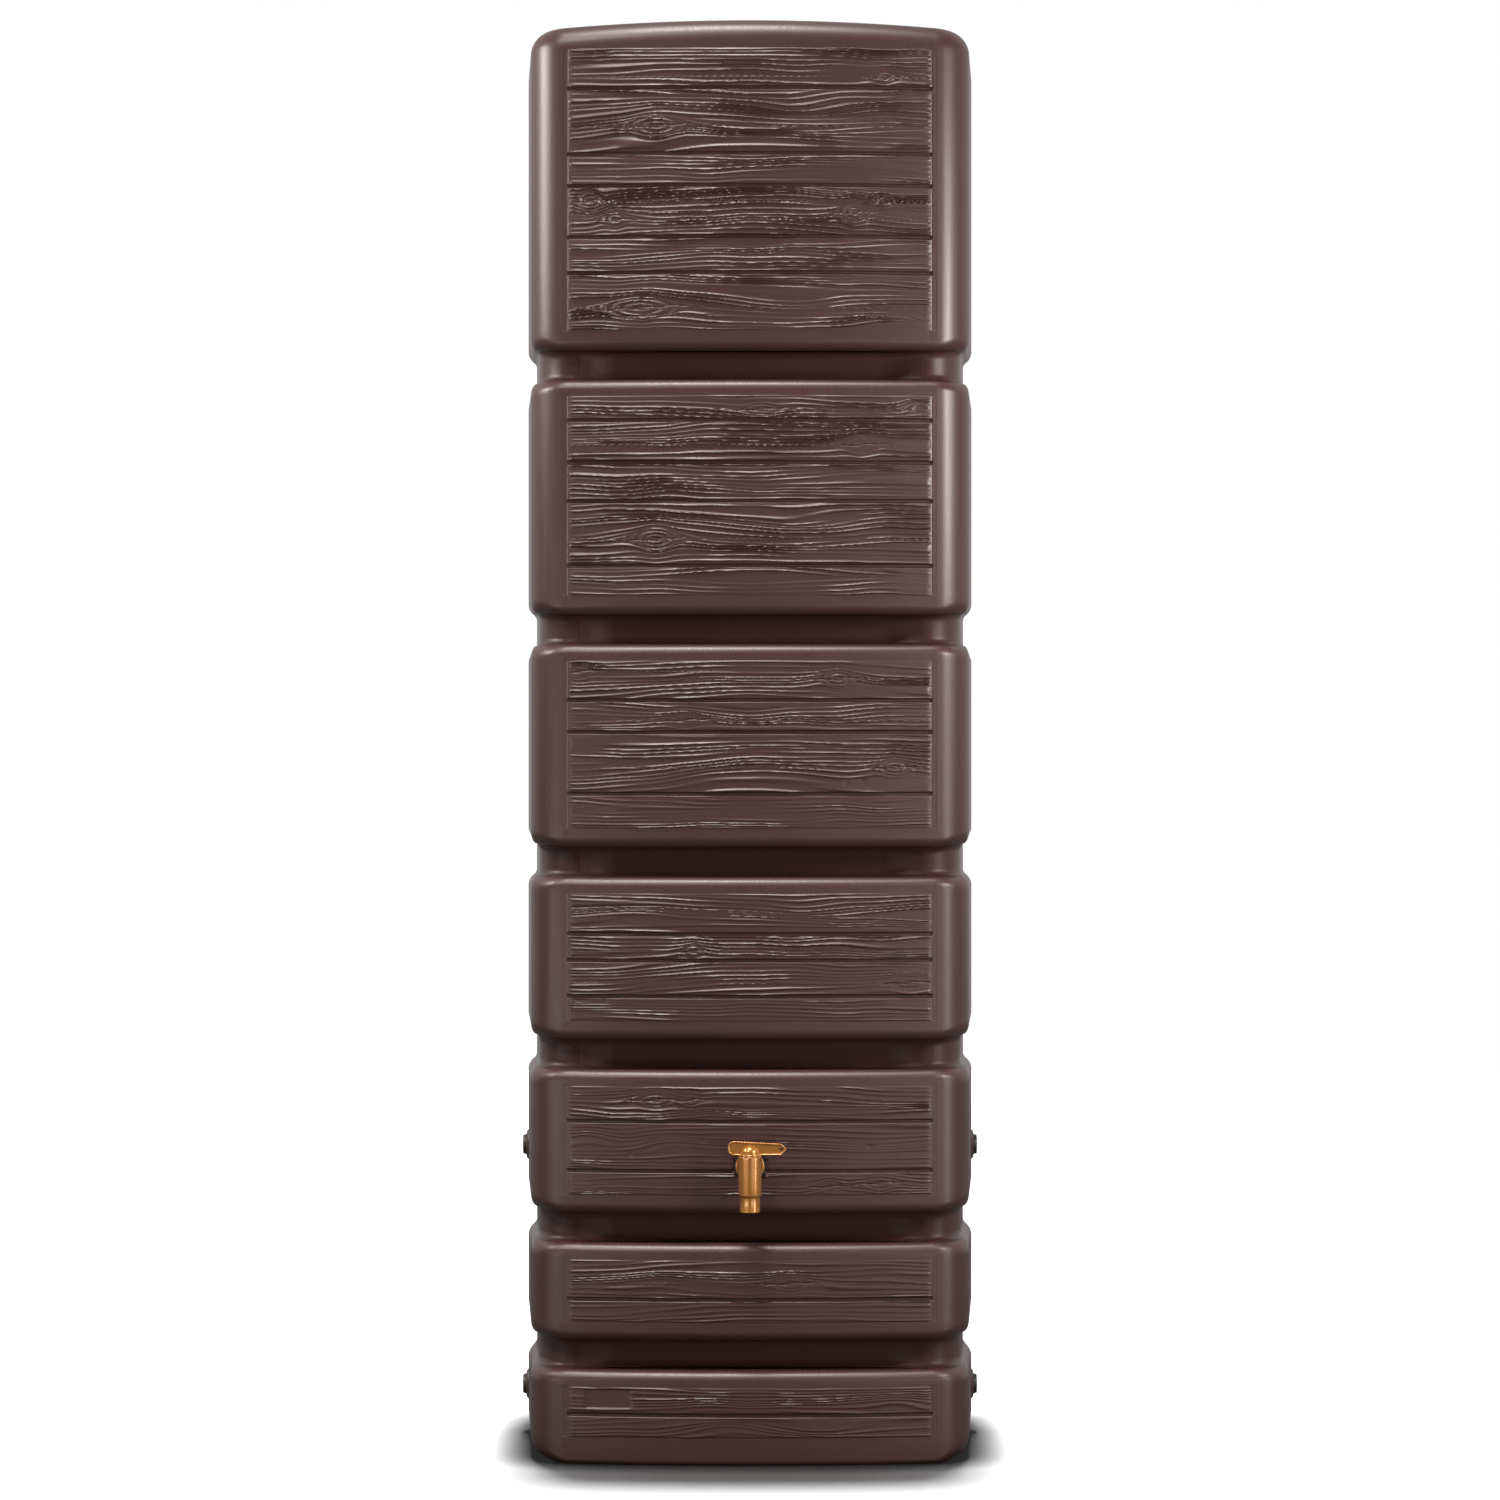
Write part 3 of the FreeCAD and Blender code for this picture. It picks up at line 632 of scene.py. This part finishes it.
# Flat seat of the tap: its block, height, size and depth, and the slope round it
tap_block = 5
tap_height = 375.0
tap_seat_radius = 21.8
tap_seat_slope = 1.2
tap_seat_drop = 2.4
# Steps of the relief grid: plain ones, and the fine ones within reach of edges and seams
column_step = 2.6
row_step = 0.75
fine_step = 0.5
column_reach = 4.5
row_reach = 3.5


def drift(seed, kind, across, up):
    """Smooth random field between a drift's values: random at its cells' corners, eased between.

    Each kind of drift on each plank has its own table of random values.
    """
    lowest, highest, wide, tall, shift = drifts[kind]
    table = np.random.default_rng(seed + list(drifts).index(kind)).random((cells, cells))
    across = across / wide + shift
    up = up / tall
    column = np.floor(across).astype(int) % cells
    row = np.floor(up).astype(int) % cells
    right = ease(across - np.floor(across))
    above = ease(up - np.floor(up))
    next_column = (column + 1) % cells
    next_row = (row + 1) % cells
    low = table[row, column] * (1 - right) + table[row, next_column] * right
    high = table[next_row, column] * (1 - right) + table[next_row, next_column] * right
    return lowest + (highest - lowest) * (low * (1 - above) + high * above)


def face_line(across):
    """The front of a block at each place across it: its bow, then the start of its corner.

    Both are circles: centre - sqrt(radius^2 - offset^2), offset counted from the centre.
    """
    arcs = plan_arcs(0.0, False)
    last = arcs["bow"] * math.sin(arcs["swing"])
    bowed = arcs["middle"][1] - np.sqrt(arcs["bow"] ** 2 - across**2)
    off = np.clip(np.abs(across) - arcs["front_centre"][0], 0.0, arcs["radius"])
    corner = arcs["front_centre"][1] - np.sqrt(arcs["radius"] ** 2 - off**2)
    return np.where(np.abs(across) < last, bowed, corner)


def growth_lines(seed, across, up, pitch, strength, near):
    """Relief of one plank, in millimetres outwards.

    The growth lines are level lines of height plus slow drifts. Round a small knot they
    rise by a bell lift / exp(distance^2). Round a large one they part: a line that would
    pass at h from its middle passes at sqrt(h^2 + eye^2), and the eye between holds rings
    and a split. Along that warped height, ridges repeat at the pitch, with their spacing,
    height, wear and fibres drifting along the plank; where lines crowd, they lie lower.
    """
    warped = up + drift(seed, "bend", across, up)
    warped += drift(seed, "ripple", across, up)
    heart = np.zeros_like(up)
    rings = np.zeros_like(up)
    split = np.zeros_like(up)
    for x, z, lift, wide, tall in near:
        beside = across - x
        rise = up - z
        ringed = abs(lift) >= ringed_lift
        bell = np.exp(-((beside / wide) ** 2) - (rise / tall) ** 2)
        warped = warped - lift * bell * (ringed_share if ringed else 1.0)
        if ringed:
            off = beside / (eye_width * wide)
            eye = eye_height * tall * np.exp(-(off**2))
            parted = np.sign(rise) * np.sqrt(np.maximum(rise**2 - eye**2, 0.0))
            warped += (parted - rise) * np.exp(-((rise / (eye_reach * tall)) ** 2))
            inside = ease(eye_edge * (1.0 - rise**2 / (eye**2 + least_eye)))
            away = np.hypot(off * eye_height * tall, rise) / ring_pitch
            rings = np.where(inside > heart, np.cos(2.0 * math.pi * away), rings)
            heart = np.maximum(heart, inside)
            line = rise - split_slope * beside - split_wave * np.sin(beside / split_wavelength)
            split = np.maximum(split, np.exp(-((line / split_half) ** 2)) * inside)
    phase = warped / pitch + drift(seed, "spacing", across, warped)
    wave = np.cos(2.0 * math.pi * phase)
    ridge = (0.5 + 0.5 * (wave + (rings - wave) * heart)) ** ridge_power
    crowding = np.abs(np.gradient(warped, axis=0) / np.gradient(up, axis=0))
    calm = crowding_limit / np.maximum(crowding, crowding_limit) * (1.0 - eye_calm * heart)
    wear = worn_share + (1.0 - worn_share) * ease(drift(seed, "wear", across, warped))
    raised = ridge_height * ridge * drift(seed, "height", across, warped)
    raised += drift(seed, "fibre", across, warped)
    return strength * calm * wear * raised - split_depth * split


def groove(distance):
    """Share of the groove's depth: 1 over its floor, eased to 0 at its edge."""
    return 1.0 - ease((distance - groove_floor) / (groove_edge - groove_floor))


def relief(block, across, up):
    """Depth of the panel's surface behind the block's face, in millimetres.

    The planks' relief with its pinholes and the bare plate, times the eased rims; then the
    side gaps, the grooves and the tap's seat, each brought in by its own eased share.
    """
    low, high = panels[block]
    edges = [high] + seams[block] + [low]
    raised = np.zeros_like(across)
    for number, (top, bottom) in enumerate(zip(edges, edges[1:])):
        pitch, strength = figures[block][number]
        near = [knot for knot in knots[block]
                if bottom - knot_margin < knot[1] < top + knot_margin]
        inside = (up <= top) & (up > bottom) if bottom > low else up <= top
        lines = growth_lines(100 * block + 10 * number, across, up, pitch, strength, near)
        raised = np.where(inside, lines, raised)
    gap = np.zeros_like(across)
    for seam in seams[block]:
        gap = np.maximum(gap, groove(np.abs(up - seam)))
    from_side = panel_half - np.abs(across)
    rim = ease(np.minimum(up - low, high - up) / rim_width)
    rim = rim * ease((from_side - rim_width) / side_rim)
    for x, z in pinholes.get(block, []):
        spread = np.hypot(across - x, up - z)
        raised = raised - pinhole_depth * np.exp(-((spread / pinhole_radius) ** 2))
    if block == plate_block:
        x, z, half_wide, half_tall = plate
        off = np.hypot(np.maximum(np.abs(across - x) - half_wide + plate_corner, 0.0),
                       np.maximum(np.abs(up - z) - half_tall + plate_corner, 0.0))
        inside = ease(0.5 - (off - plate_corner) / plate_edge)
        raised = raised * (1.0 - inside) - plate_drop * inside
    depth = -(plank_rise + raised) * rim
    side_gap = 1.0 - ease(np.abs(from_side - side_gap_half) / side_gap_half)
    depth = depth + side_gap_drop * side_gap
    depth = depth + (groove_drop - depth) * gap
    if block == tap_block:
        spread = np.hypot(across, up - tap_height)
        seat = ease((tap_seat_radius - spread) / tap_seat_slope)
        depth = depth + (tap_seat_drop - depth) * seat
    return depth


def spaced(marks, step, fine, reach):
    """Grid lines between marks, fine within reach of each mark and a step apart elsewhere."""
    lines = []
    for first, last in zip(marks, marks[1:]):
        near = np.arange(0.0, reach, fine)
        count = max(2, round((last - first - 2.0 * reach) / step) + 1)
        middle = np.linspace(first + reach, last - reach, count)
        lines += [first + near, middle, np.sort(last - near[1:])]
    return np.concatenate(lines + [[marks[-1]]])


def panel_mesh(block):
    """Relief grid in front, a plain bowed back, and flat ends, top and bottom."""
    low, high = panels[block]
    columns = spaced([-panel_half, panel_half], column_step, fine_step, column_reach)
    rows = spaced([low] + seams[block][::-1] + [high], row_step, fine_step, row_reach)
    across, up = np.meshgrid(columns, rows)
    depth = relief(block, across, up)
    front = np.stack([across, face_line(across) + depth, up], axis=-1).reshape(-1, 3)
    wide = len(columns)
    tall = len(rows)
    faces = grid_faces(tall, wide, False).tolist()
    back_across = np.linspace(-panel_half, panel_half, back_columns + 1)
    back_line_y = face_line(back_across) + pocket_depth
    back = [np.column_stack([back_across, back_line_y, np.full(back_columns + 1, level)])
            for level in (low, high)]
    start = wide * tall
    under = start + np.arange(back_columns + 1)
    over = under + back_columns + 1
    faces += np.stack([under[1:], under[:-1], over[:-1], over[1:]], axis=1).tolist()
    bottom_row = np.arange(wide)
    top_row = bottom_row + (tall - 1) * wide
    left_column = np.arange(tall) * wide
    right_column = left_column + wide - 1
    faces.append(tuple(bottom_row[::-1]) + tuple(under))
    faces.append(tuple(top_row) + tuple(over[::-1]))
    faces.append(tuple(left_column) + (over[0], under[0]))
    faces.append(tuple(right_column[::-1]) + (under[-1], over[-1]))
    return np.concatenate([front] + back), faces


plank_plastic = brown_polyethylene("plank_plastic", True)
for block in panels:
    panel = make_piece(f"plank_panel_{block}", *panel_mesh(block), crease=60.0)
    panel.data.materials.append(plank_plastic)
    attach(panel, "tank")

# Side ports
# Four round bosses moulded out of the sides, each with a brass thread moulded in, a black
# flat seal, and a dark screw plug with a slotted face. The brass, seals and plugs are the
# frame's own pieces with their finishes; the bosses are turned here.

boss_height = {"upper": 377.0, "lower": 63.0}
boss_sides = 48
# Boss, as radius and distance outwards from the parting line
boss_profile = [(20.6, -3.0), (20.6, -0.6), (19.4, 0.1), (18.2, 1.5), (17.6, 2.0), (17.0, 2.2),
                (14.1, 2.2), (14.1, -3.0)]


def turned(profile, count, axis, centre):
    """Points of (radius, along) carried round the axis x, y, z or -x: r cos, r sin, along."""
    radius, along = np.array(profile, float).T
    turn = np.linspace(0.0, 2.0 * math.pi, count, endpoint=False)
    first = radius[:, None] * np.cos(turn)
    second = radius[:, None] * np.sin(turn)
    third = np.broadcast_to(along[:, None], first.shape)
    order = {"x": (third, first, second), "-x": (-third, second, first),
             "y": (second, third, first), "z": (first, second, third)}[axis]
    return np.stack(order, axis=-1).reshape(-1, 3) + centre


def turned_faces(length, count, closed):
    """Faces of a turned profile. A closed profile joins its last ring to its first."""
    faces = grid_faces(length, count, True)
    if closed:
        column = np.arange(count)
        beside = (column + 1) % count
        last = (length - 1) * count
        ring = np.stack([last + column, last + beside, beside, column], axis=-1)
        faces = np.concatenate([faces, ring])
    return faces.tolist()


def dark_moulding(name, tone, roughness):
    """Dull moulded plastic or rubber with a fine skin texture and a cloudy tone."""
    material, tree, shader, place = new_finish(name)
    clouds = noise(tree, place, scale=60.0, detail=3.0, roughness=0.5)
    skin = noise(tree, place, scale=1500.0, detail=2.0, roughness=0.6)
    lighter = [1.35 * value for value in tone]
    feed(tree, shader, {
        "Base Color": tones(tree, clouds, tone, lighter),
        "Roughness": roughness,
        "Normal": bumped(tree, skin, strength=0.2, distance=0.0002),
    })
    return material


def machined_brass(name):
    """Turned brass: yellow metal, slightly tarnished in spots that are a little rough."""
    material, tree, shader, place = new_finish(name)
    stain = noise(tree, place, scale=90.0, detail=4.0, roughness=0.6)
    feed(tree, shader, {
        "Base Color": tones(tree, stain, (0.42, 0.26, 0.08), (0.72, 0.50, 0.20)),
        "Metallic": 1.0,
        "Roughness": 0.32,
        "Normal": bumped(tree, stain, strength=0.15, distance=0.0003),
    })
    return material


def refinish(node, material):
    """Gives one of the frame's own pieces its finish."""
    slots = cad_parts[node].data.materials
    slots.clear()
    slots.append(material)


plug_plastic = dark_moulding("plug_plastic", (0.020, 0.012, 0.012), 0.42)
seal_rubber = dark_moulding("seal_rubber", (0.012, 0.012, 0.012), 0.6)
thread_brass = machined_brass("thread_brass")
for level, height in boss_height.items():
    for side, axis, sign in (("left", "-x", -1.0), ("right", "x", 1.0)):
        centre = np.array([sign * side_half, parting_line, height])
        points = turned(boss_profile, boss_sides, axis, centre)
        faces = turned_faces(len(boss_profile), boss_sides, True)
        boss = make_piece(f"port_boss_{side}_{level}", points, faces)
        boss.data.materials.append(shell_plastic)
        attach(boss, "tank")
        refinish(f"port_plug_{side}_{level}", plug_plastic)
        refinish(f"port_seal_{side}_{level}", seal_rubber)
        refinish(f"port_insert_{side}_{level}", thread_brass)

# Tap
# A quarter-turn tap moulded in brass-coloured plastic. The body screws into the front over
# a black seal: spigot, flange and neck, then an upright barrel that steps down to the hose
# outlet. The handle is one moulding too: plug, collar, round hub and a blade with a raised rim.

seat_line = front_line + tap_seat_drop
barrel_reach = 36.0
barrel_line = seat_line - barrel_reach
tap_sides = 96
# Barrel and outlet, as radius and height above the spigot's axis, outside then bore
barrel_profile = [
    (12.1, -53.6), (12.5, -53.5), (12.75, -53.1), (12.8, -52.6), (12.75, -51.4), (12.4, -50.4),
    (12.4, -36.0), (12.5, -34.8), (12.8, -34.2), (13.4, -33.8), (13.9, -33.3), (14.1, -32.4),
    (14.2, -31.0), (14.6, -10.0), (14.93, 12.0), (14.98, 14.4), (14.88, 14.95), (14.65, 15.3),
    (14.25, 15.5), (10.7, 15.5), (10.2, 15.2), (10.0, 14.6), (10.0, -14.3), (10.9, -14.3),
    (10.9, -16.3), (9.0, -16.3), (9.0, -53.0), (9.3, -53.6),
]
# Neck, flange and spigot, as radius and distance behind the tap's seat; the first and last
# rings follow the barrel
inlet_profile = [
    (12.4, -24.0), (12.4, -9.4), (12.6, -8.4), (13.2, -7.5), (14.2, -7.05), (15.4, -7.0),
    (17.2, -7.0), (17.65, -6.85), (17.9, -6.5), (18.0, -6.0), (18.0, -4.0), (17.9, -3.5),
    (17.65, -3.15), (17.2, -3.0), (12.2, -3.0), (12.2, 23.4), (11.6, 24.0), (7.1, 24.0),
    (6.5, 23.4), (6.5, -24.0),
]
# Radius within the barrel's wall at which the inlet's near end stops
wall_middle = 12.6
# Plug, collar and the start of the hub, from the top of the plug's bore downwards and out
plug_profile = [
    (6.5, 6.5), (6.5, -16.0), (9.6, -16.0), (10.5, -15.6), (10.5, -14.8), (9.95, -14.5),
    (9.95, -11.6), (8.15, -11.6), (8.15, -9.4), (9.95, -9.4), (9.95, 9.4), (8.15, 9.4),
    (8.15, 11.6), (9.95, 11.6), (9.95, 15.8), (13.9, 15.8), (14.25, 15.93), (14.45, 16.2),
    (14.5, 16.6), (14.5, 16.9), (14.45, 17.25), (14.25, 17.5), (13.9, 17.6), (13.2, 17.65),
    (12.75, 17.85), (12.45, 18.2), (12.3, 18.7),
]
# Hub: height of its dome's centre above the spigot's axis, and its radius
hub_foot = 17.6
hub_radius = 12.3
# Angles up the hub's dome, which ends in a small flat
dome_turns = np.linspace(0.14, math.pi / 2 - 0.06, 20)
# Corners of the blade, across and above its foot, with the radius of each
blade_corners = [
    (-27.4, -1.2, 7.6), (38.8, -1.0, 2.8), (46.2, 6.9, 2.8), (38.8, 13.7, 2.8), (-27.4, 17.2, 7.4),
]
# Blade's rim, as inset from the outline and distance from the blade's middle plane
blade_rim = [(2.35, 1.2), (2.15, 1.8), (1.8, 2.3), (1.35, 2.48), (0.95, 2.5), (0.5, 2.38),
             (0.15, 1.95), (0.0, 1.3)]
blade_corner_points = 9
# Hole in the blade's tip, placed as the blade's corners are
hole_across = 38.5
hole_up = 6.9
hole_radius = 2.0
hole_sides = 24


def blade_ring(inset):
    """The blade's outline, drawn in by an inset: an arc round each corner's centre."""
    corners = np.array(blade_corners)
    place = corners[:, :2]
    ahead = np.roll(place, -1, axis=0) - place
    ahead /= np.hypot(*ahead.T)[:, None]
    after = np.stack([ahead[:, 1], -ahead[:, 0]], axis=1)
    before = np.roll(after, 1, axis=0)
    radius = corners[:, 2:]
    spread = 1.0 + np.sum(before * after, axis=1, keepdims=True)
    centre = place - radius * (before + after) / spread
    share = np.linspace(0.0, 1.0, blade_corner_points)[:, None]
    first = np.arctan2(before[:, 1], before[:, 0])
    turn = np.arctan2(after[:, 1], after[:, 0]) - first
    angle = first + np.mod(turn, 2.0 * math.pi) * share
    rim = np.stack([np.cos(angle), np.sin(angle)], axis=-1)
    return (centre + (radius - inset) * rim).transpose(1, 0, 2).reshape(-1, 2)


def blade_mesh(start):
    """Rings over the rim from the front web to the back, and two webs with the tip's hole."""
    rings = []
    for inset, level in blade_rim:
        rings.append(np.insert(blade_ring(inset), 1, -level, axis=1))
    for inset, level in blade_rim[::-1]:
        rings.append(np.insert(blade_ring(inset), 1, level, axis=1))
    count = len(rings[0])
    turn = np.linspace(0.0, 2.0 * math.pi, hole_sides, endpoint=False)
    hole = np.stack([hole_across + hole_radius * np.cos(turn),
                     hole_up + hole_radius * np.sin(turn)], axis=1)
    web = blade_rim[0][1]
    walls = [np.insert(hole, 1, level, axis=1) for level in (-web, web)]
    points = np.concatenate(rings + walls)
    faces = (grid_faces(len(rings), count, True)[:, ::-1] + start).tolist()
    first_hole = len(rings) * count
    faces += (grid_faces(2, len(hole), True) + first_hole + start).tolist()
    flat = np.concatenate([rings[0][:, [0, 2]], hole])
    loops = [[Vector((x, z, 0.0)) for x, z in loop] for loop in (flat[:count], hole)]
    corners = np.array(tessellate_polygon(loops))
    first, second, third = flat[corners].transpose(1, 0, 2)
    across, up = (second - first).T
    far_across, far_up = (third - first).T
    clockwise = across * far_up < far_across * up
    corners[clockwise] = corners[clockwise, ::-1]
    front = np.arange(count)
    hole_edge = first_hole + np.arange(len(hole))
    near_edge = np.concatenate([front, hole_edge])
    far_edge = np.concatenate([front + (len(rings) - 1) * count, hole_edge + len(hole)])
    faces += (near_edge[corners] + start).tolist()
    faces += (far_edge[corners[:, ::-1]] + start).tolist()
    return points, faces


def tap_housing():
    """Barrel and inlet, each a closed turned surface; the inlet's near end follows the barrel."""
    barrel = turned(barrel_profile, tap_sides, "z", (0.0, barrel_line, tap_height))
    inlet = turned(inlet_profile, tap_sides, "y", (0.0, 0.0, 0.0))
    for ring in (slice(0, tap_sides), slice(-tap_sides, None)):
        inlet[ring, 1] = np.sqrt(wall_middle**2 - inlet[ring, 0] ** 2) - barrel_reach
    inlet += (0.0, seat_line, tap_height)
    faces = turned_faces(len(barrel_profile), tap_sides, True)
    inlet_faces = np.array(turned_faces(len(inlet_profile), tap_sides, True)) + len(barrel)
    return np.concatenate([barrel, inlet]), faces + inlet_faces.tolist()


def tap_lever():
    """Plug, collar and hub turned in one surface, and the blade that runs through the hub."""
    dome = np.column_stack([hub_radius * np.cos(dome_turns),
                            hub_foot + hub_radius * np.sin(dome_turns)])
    profile = np.concatenate([plug_profile, dome])
    points = turned(profile, tap_sides, "z", (0.0, 0.0, 0.0))
    faces = turned_faces(len(profile), tap_sides, False)
    faces.append(tuple(range(tap_sides))[::-1])
    faces.append(tuple(range(len(points) - tap_sides, len(points))))
    blade, blade_faces = blade_mesh(len(points))
    points = np.concatenate([points, blade + (0.0, 0.0, hub_foot)])
    return points + (0.0, barrel_line, tap_height), faces + blade_faces


def brass_plastic(name):
    """Satin brass-coloured plastic: cloudy metallic tone, uneven gloss, clear moulded skin."""
    material, tree, shader, place = new_finish(name)
    clouds = noise(tree, place, scale=45.0, detail=4.0, roughness=0.6)
    flake = noise(tree, place, scale=2500.0, detail=1.0, roughness=0.5)
    dark = (0.44, 0.168, 0.026)
    light = (0.55, 0.222, 0.038)
    feed(tree, shader, {
        "Base Color": tones(tree, clouds, dark, light, start=0.3, end=0.7),
        "Metallic": 0.55,
        "Roughness": ranged(tree, flake, low=0.24, high=0.36),
        "Coat Weight": 1.0,
        "Coat Roughness": 0.16,
        "Normal": bumped(tree, flake, strength=0.12, distance=0.0001),
    })
    return material


tap_plastic = brass_plastic("tap_plastic")
for name, shape, body, node in (("tap_housing", tap_housing(), "tank", "tap_body"),
                                ("tap_lever", tap_lever(), "valve", "tap_handle")):
    piece = make_piece(name, *shape)
    piece.data.materials.append(tap_plastic)
    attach(piece, body)
    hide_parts(node)
refinish("tap_seal", seal_rubber)
refinish("tap_insert", thread_brass)
refinish("valve_ring_upper", seal_rubber)
refinish("valve_ring_lower", seal_rubber)

# Lid
# A shallow round cap of the same plastic as the shell. It is pushed over the neck's rim and
# pulled off by hand. It is the frame's own piece with its finish.

refinish("lid", shell_plastic)

# Floor and light
# The floor shows the camera only the tank's soft shadow on white. That shadow is partly the floor
# sun's real shadow and partly painted shade: ambient occlusion darkens the floor's colour near
# the tank, and a painted glow lifts the darkest part. The tank is lit by a small key lamp far off
# at the upper left, a large lamp high above, small ones near both sides, weak low ones in front,
# and a backdrop that is pale behind it and dark in front.

white = (1.0, 1.0, 1.0, 1.0)
floor_grey = (0.08, 0.08, 0.08, 1.0)
floor_points = np.array([[-6.0, -7.0, 0.0], [6.0, -7.0, 0.0], [6.0, 6.0, 0.0], [-6.0, 6.0, 0.0]])
# Painted contact shadow, where ambient occlusion darkens the floor's colour: its reach, the open
# share at which it is darkest, its tone there, and how steeply it darkens; and a painted glow
# that keeps the deepest shadow off black
contact_reach = 0.06
closed_share = 0.45
contact_tone = 0.2
contact_power = 2.0
shadow_glow = 0.018


def by_ray(tree, lit, seen):
    """One shader for the light that a surface gives, another for what the camera sees."""
    ray = node_of(tree, "ShaderNodeLightPath", {}).outputs["Is Camera Ray"]
    return node_of(tree, "ShaderNodeMixShader", {"Fac": ray, 1: lit, 2: seen}).outputs["Shader"]


bpy.context.scene.view_settings.view_transform = "Standard"
floor = make_piece("floor", floor_points / mm, [(0, 1, 2, 3)])
floor_paint, tree, shader, _ = new_finish("floor_paint")
feed(tree, shader, {"Base Color": floor_grey, "Roughness": 0.9})
# Painted shade: the camera's floor colour darkens near the tank by ambient occlusion, and an
# emission glow is added
contact = node_of(tree, "ShaderNodeAmbientOcclusion", {"Distance": contact_reach}).outputs["AO"]
open_share = ranged(tree, contact, contact_tone, 1.0, first=closed_share)
open_tone = worked_out(tree, "POWER", open_share, contact_power)
bright = node_of(tree, "ShaderNodeBsdfDiffuse", {"Color": open_tone}).outputs["BSDF"]
glow = node_of(tree, "ShaderNodeEmission", {"Strength": shadow_glow}).outputs["Emission"]
lifted = node_of(tree, "ShaderNodeAddShader", {0: bright, 1: glow}).outputs["Shader"]
paint = by_ray(tree, shader.outputs["BSDF"], lifted)
feed(tree, tree.nodes["Material Output"], {"Surface": paint})
floor.data.materials.append(floor_paint)

world = bpy.data.worlds.new("studio")
bpy.context.scene.world = world
world.use_nodes = True
tree = world.node_tree
direction = node_of(tree, "ShaderNodeTexCoord", {}).outputs["Generated"]
sides = node_of(tree, "ShaderNodeSeparateXYZ", {"Vector": direction})
backdrop = ranged(tree, sides.outputs["Y"], low=0.05, high=0.7, first=-0.2, last=0.5,
                  easing="SMOOTHSTEP")
fill = tree.nodes["Background"]
feed(tree, fill, {"Color": white, "Strength": backdrop})
blank = node_of(tree, "ShaderNodeBackground", {"Color": white})
sky = by_ray(tree, fill.outputs["Background"], blank.outputs["Background"])
feed(tree, tree.nodes["World Output"], {"Surface": sky})

floor_only = bpy.data.collections.new("floor_only")
floor_only.objects.link(floor)
all_but_floor = bpy.data.collections.new("all_but_floor")
all_but_floor.objects.link(floor)
all_but_floor.collection_objects[0].light_linking.link_state = "EXCLUDE"


def soft_box(name, place, target, wide, tall, watts):
    """A rectangular area lamp that faces a point and lights all but the floor."""
    data = bpy.data.lights.new(name, "AREA")
    data.shape = "RECTANGLE"
    data.size = wide
    data.size_y = tall
    data.energy = watts
    lamp = bpy.data.objects.new(name, data)
    bpy.context.scene.collection.objects.link(lamp)
    lamp.location = place
    forward = np.array(target) - np.array(place)
    level = math.hypot(forward[0], forward[1])
    lamp.rotation_euler = (math.atan2(level, -forward[2]), 0.0,
                           math.atan2(-forward[0], forward[1]))
    lamp.light_linking.receiver_collection = all_but_floor


tank_middle = (0.0, -0.2, 0.9)
tank_foot = (0.0, -0.2, 0.3)
soft_box("key_box", (-4.42, -8.87, 10.97), tank_middle, 0.9, 0.9, 500.0)
soft_box("top_box", (-0.9, -3.9, 14.3), tank_middle, 2.5, 4.6, 1600.0)
soft_box("right_box", (1.43, -1.12, 1.5), (0.25, -0.2, 1.4), 0.46, 0.44, 24.0)
soft_box("right_low_box", (2.0, -1.6, 0.5), (0.25, -0.2, 0.5), 0.5, 1.0, 13.0)
soft_box("front_low_box", (1.4, -3.2, 0.25), tank_foot, 1.2, 0.6, 8.0)
soft_box("left_low_box", (-2.5, -3.0, 0.3), tank_foot, 3.0, 0.5, 23.0)
soft_box("left_box", (-1.54, -0.42, 1.95), (-0.26, -0.19, 1.6), 0.5, 0.6, 22.0)

# The floor's own light comes from straight above and a little behind, so that the shadow
# it keeps is the narrow dark band in front of the base.
floor_light = bpy.data.lights.new("floor_sun", "SUN")
floor_light.energy = 3.8
floor_light.angle = math.radians(4.6)
floor_sun = bpy.data.objects.new("floor_sun", floor_light)
bpy.context.scene.collection.objects.link(floor_sun)
floor_sun.rotation_euler = (math.radians(-5.2), 0.0, 0.0)
floor_sun.light_linking.receiver_collection = floor_only
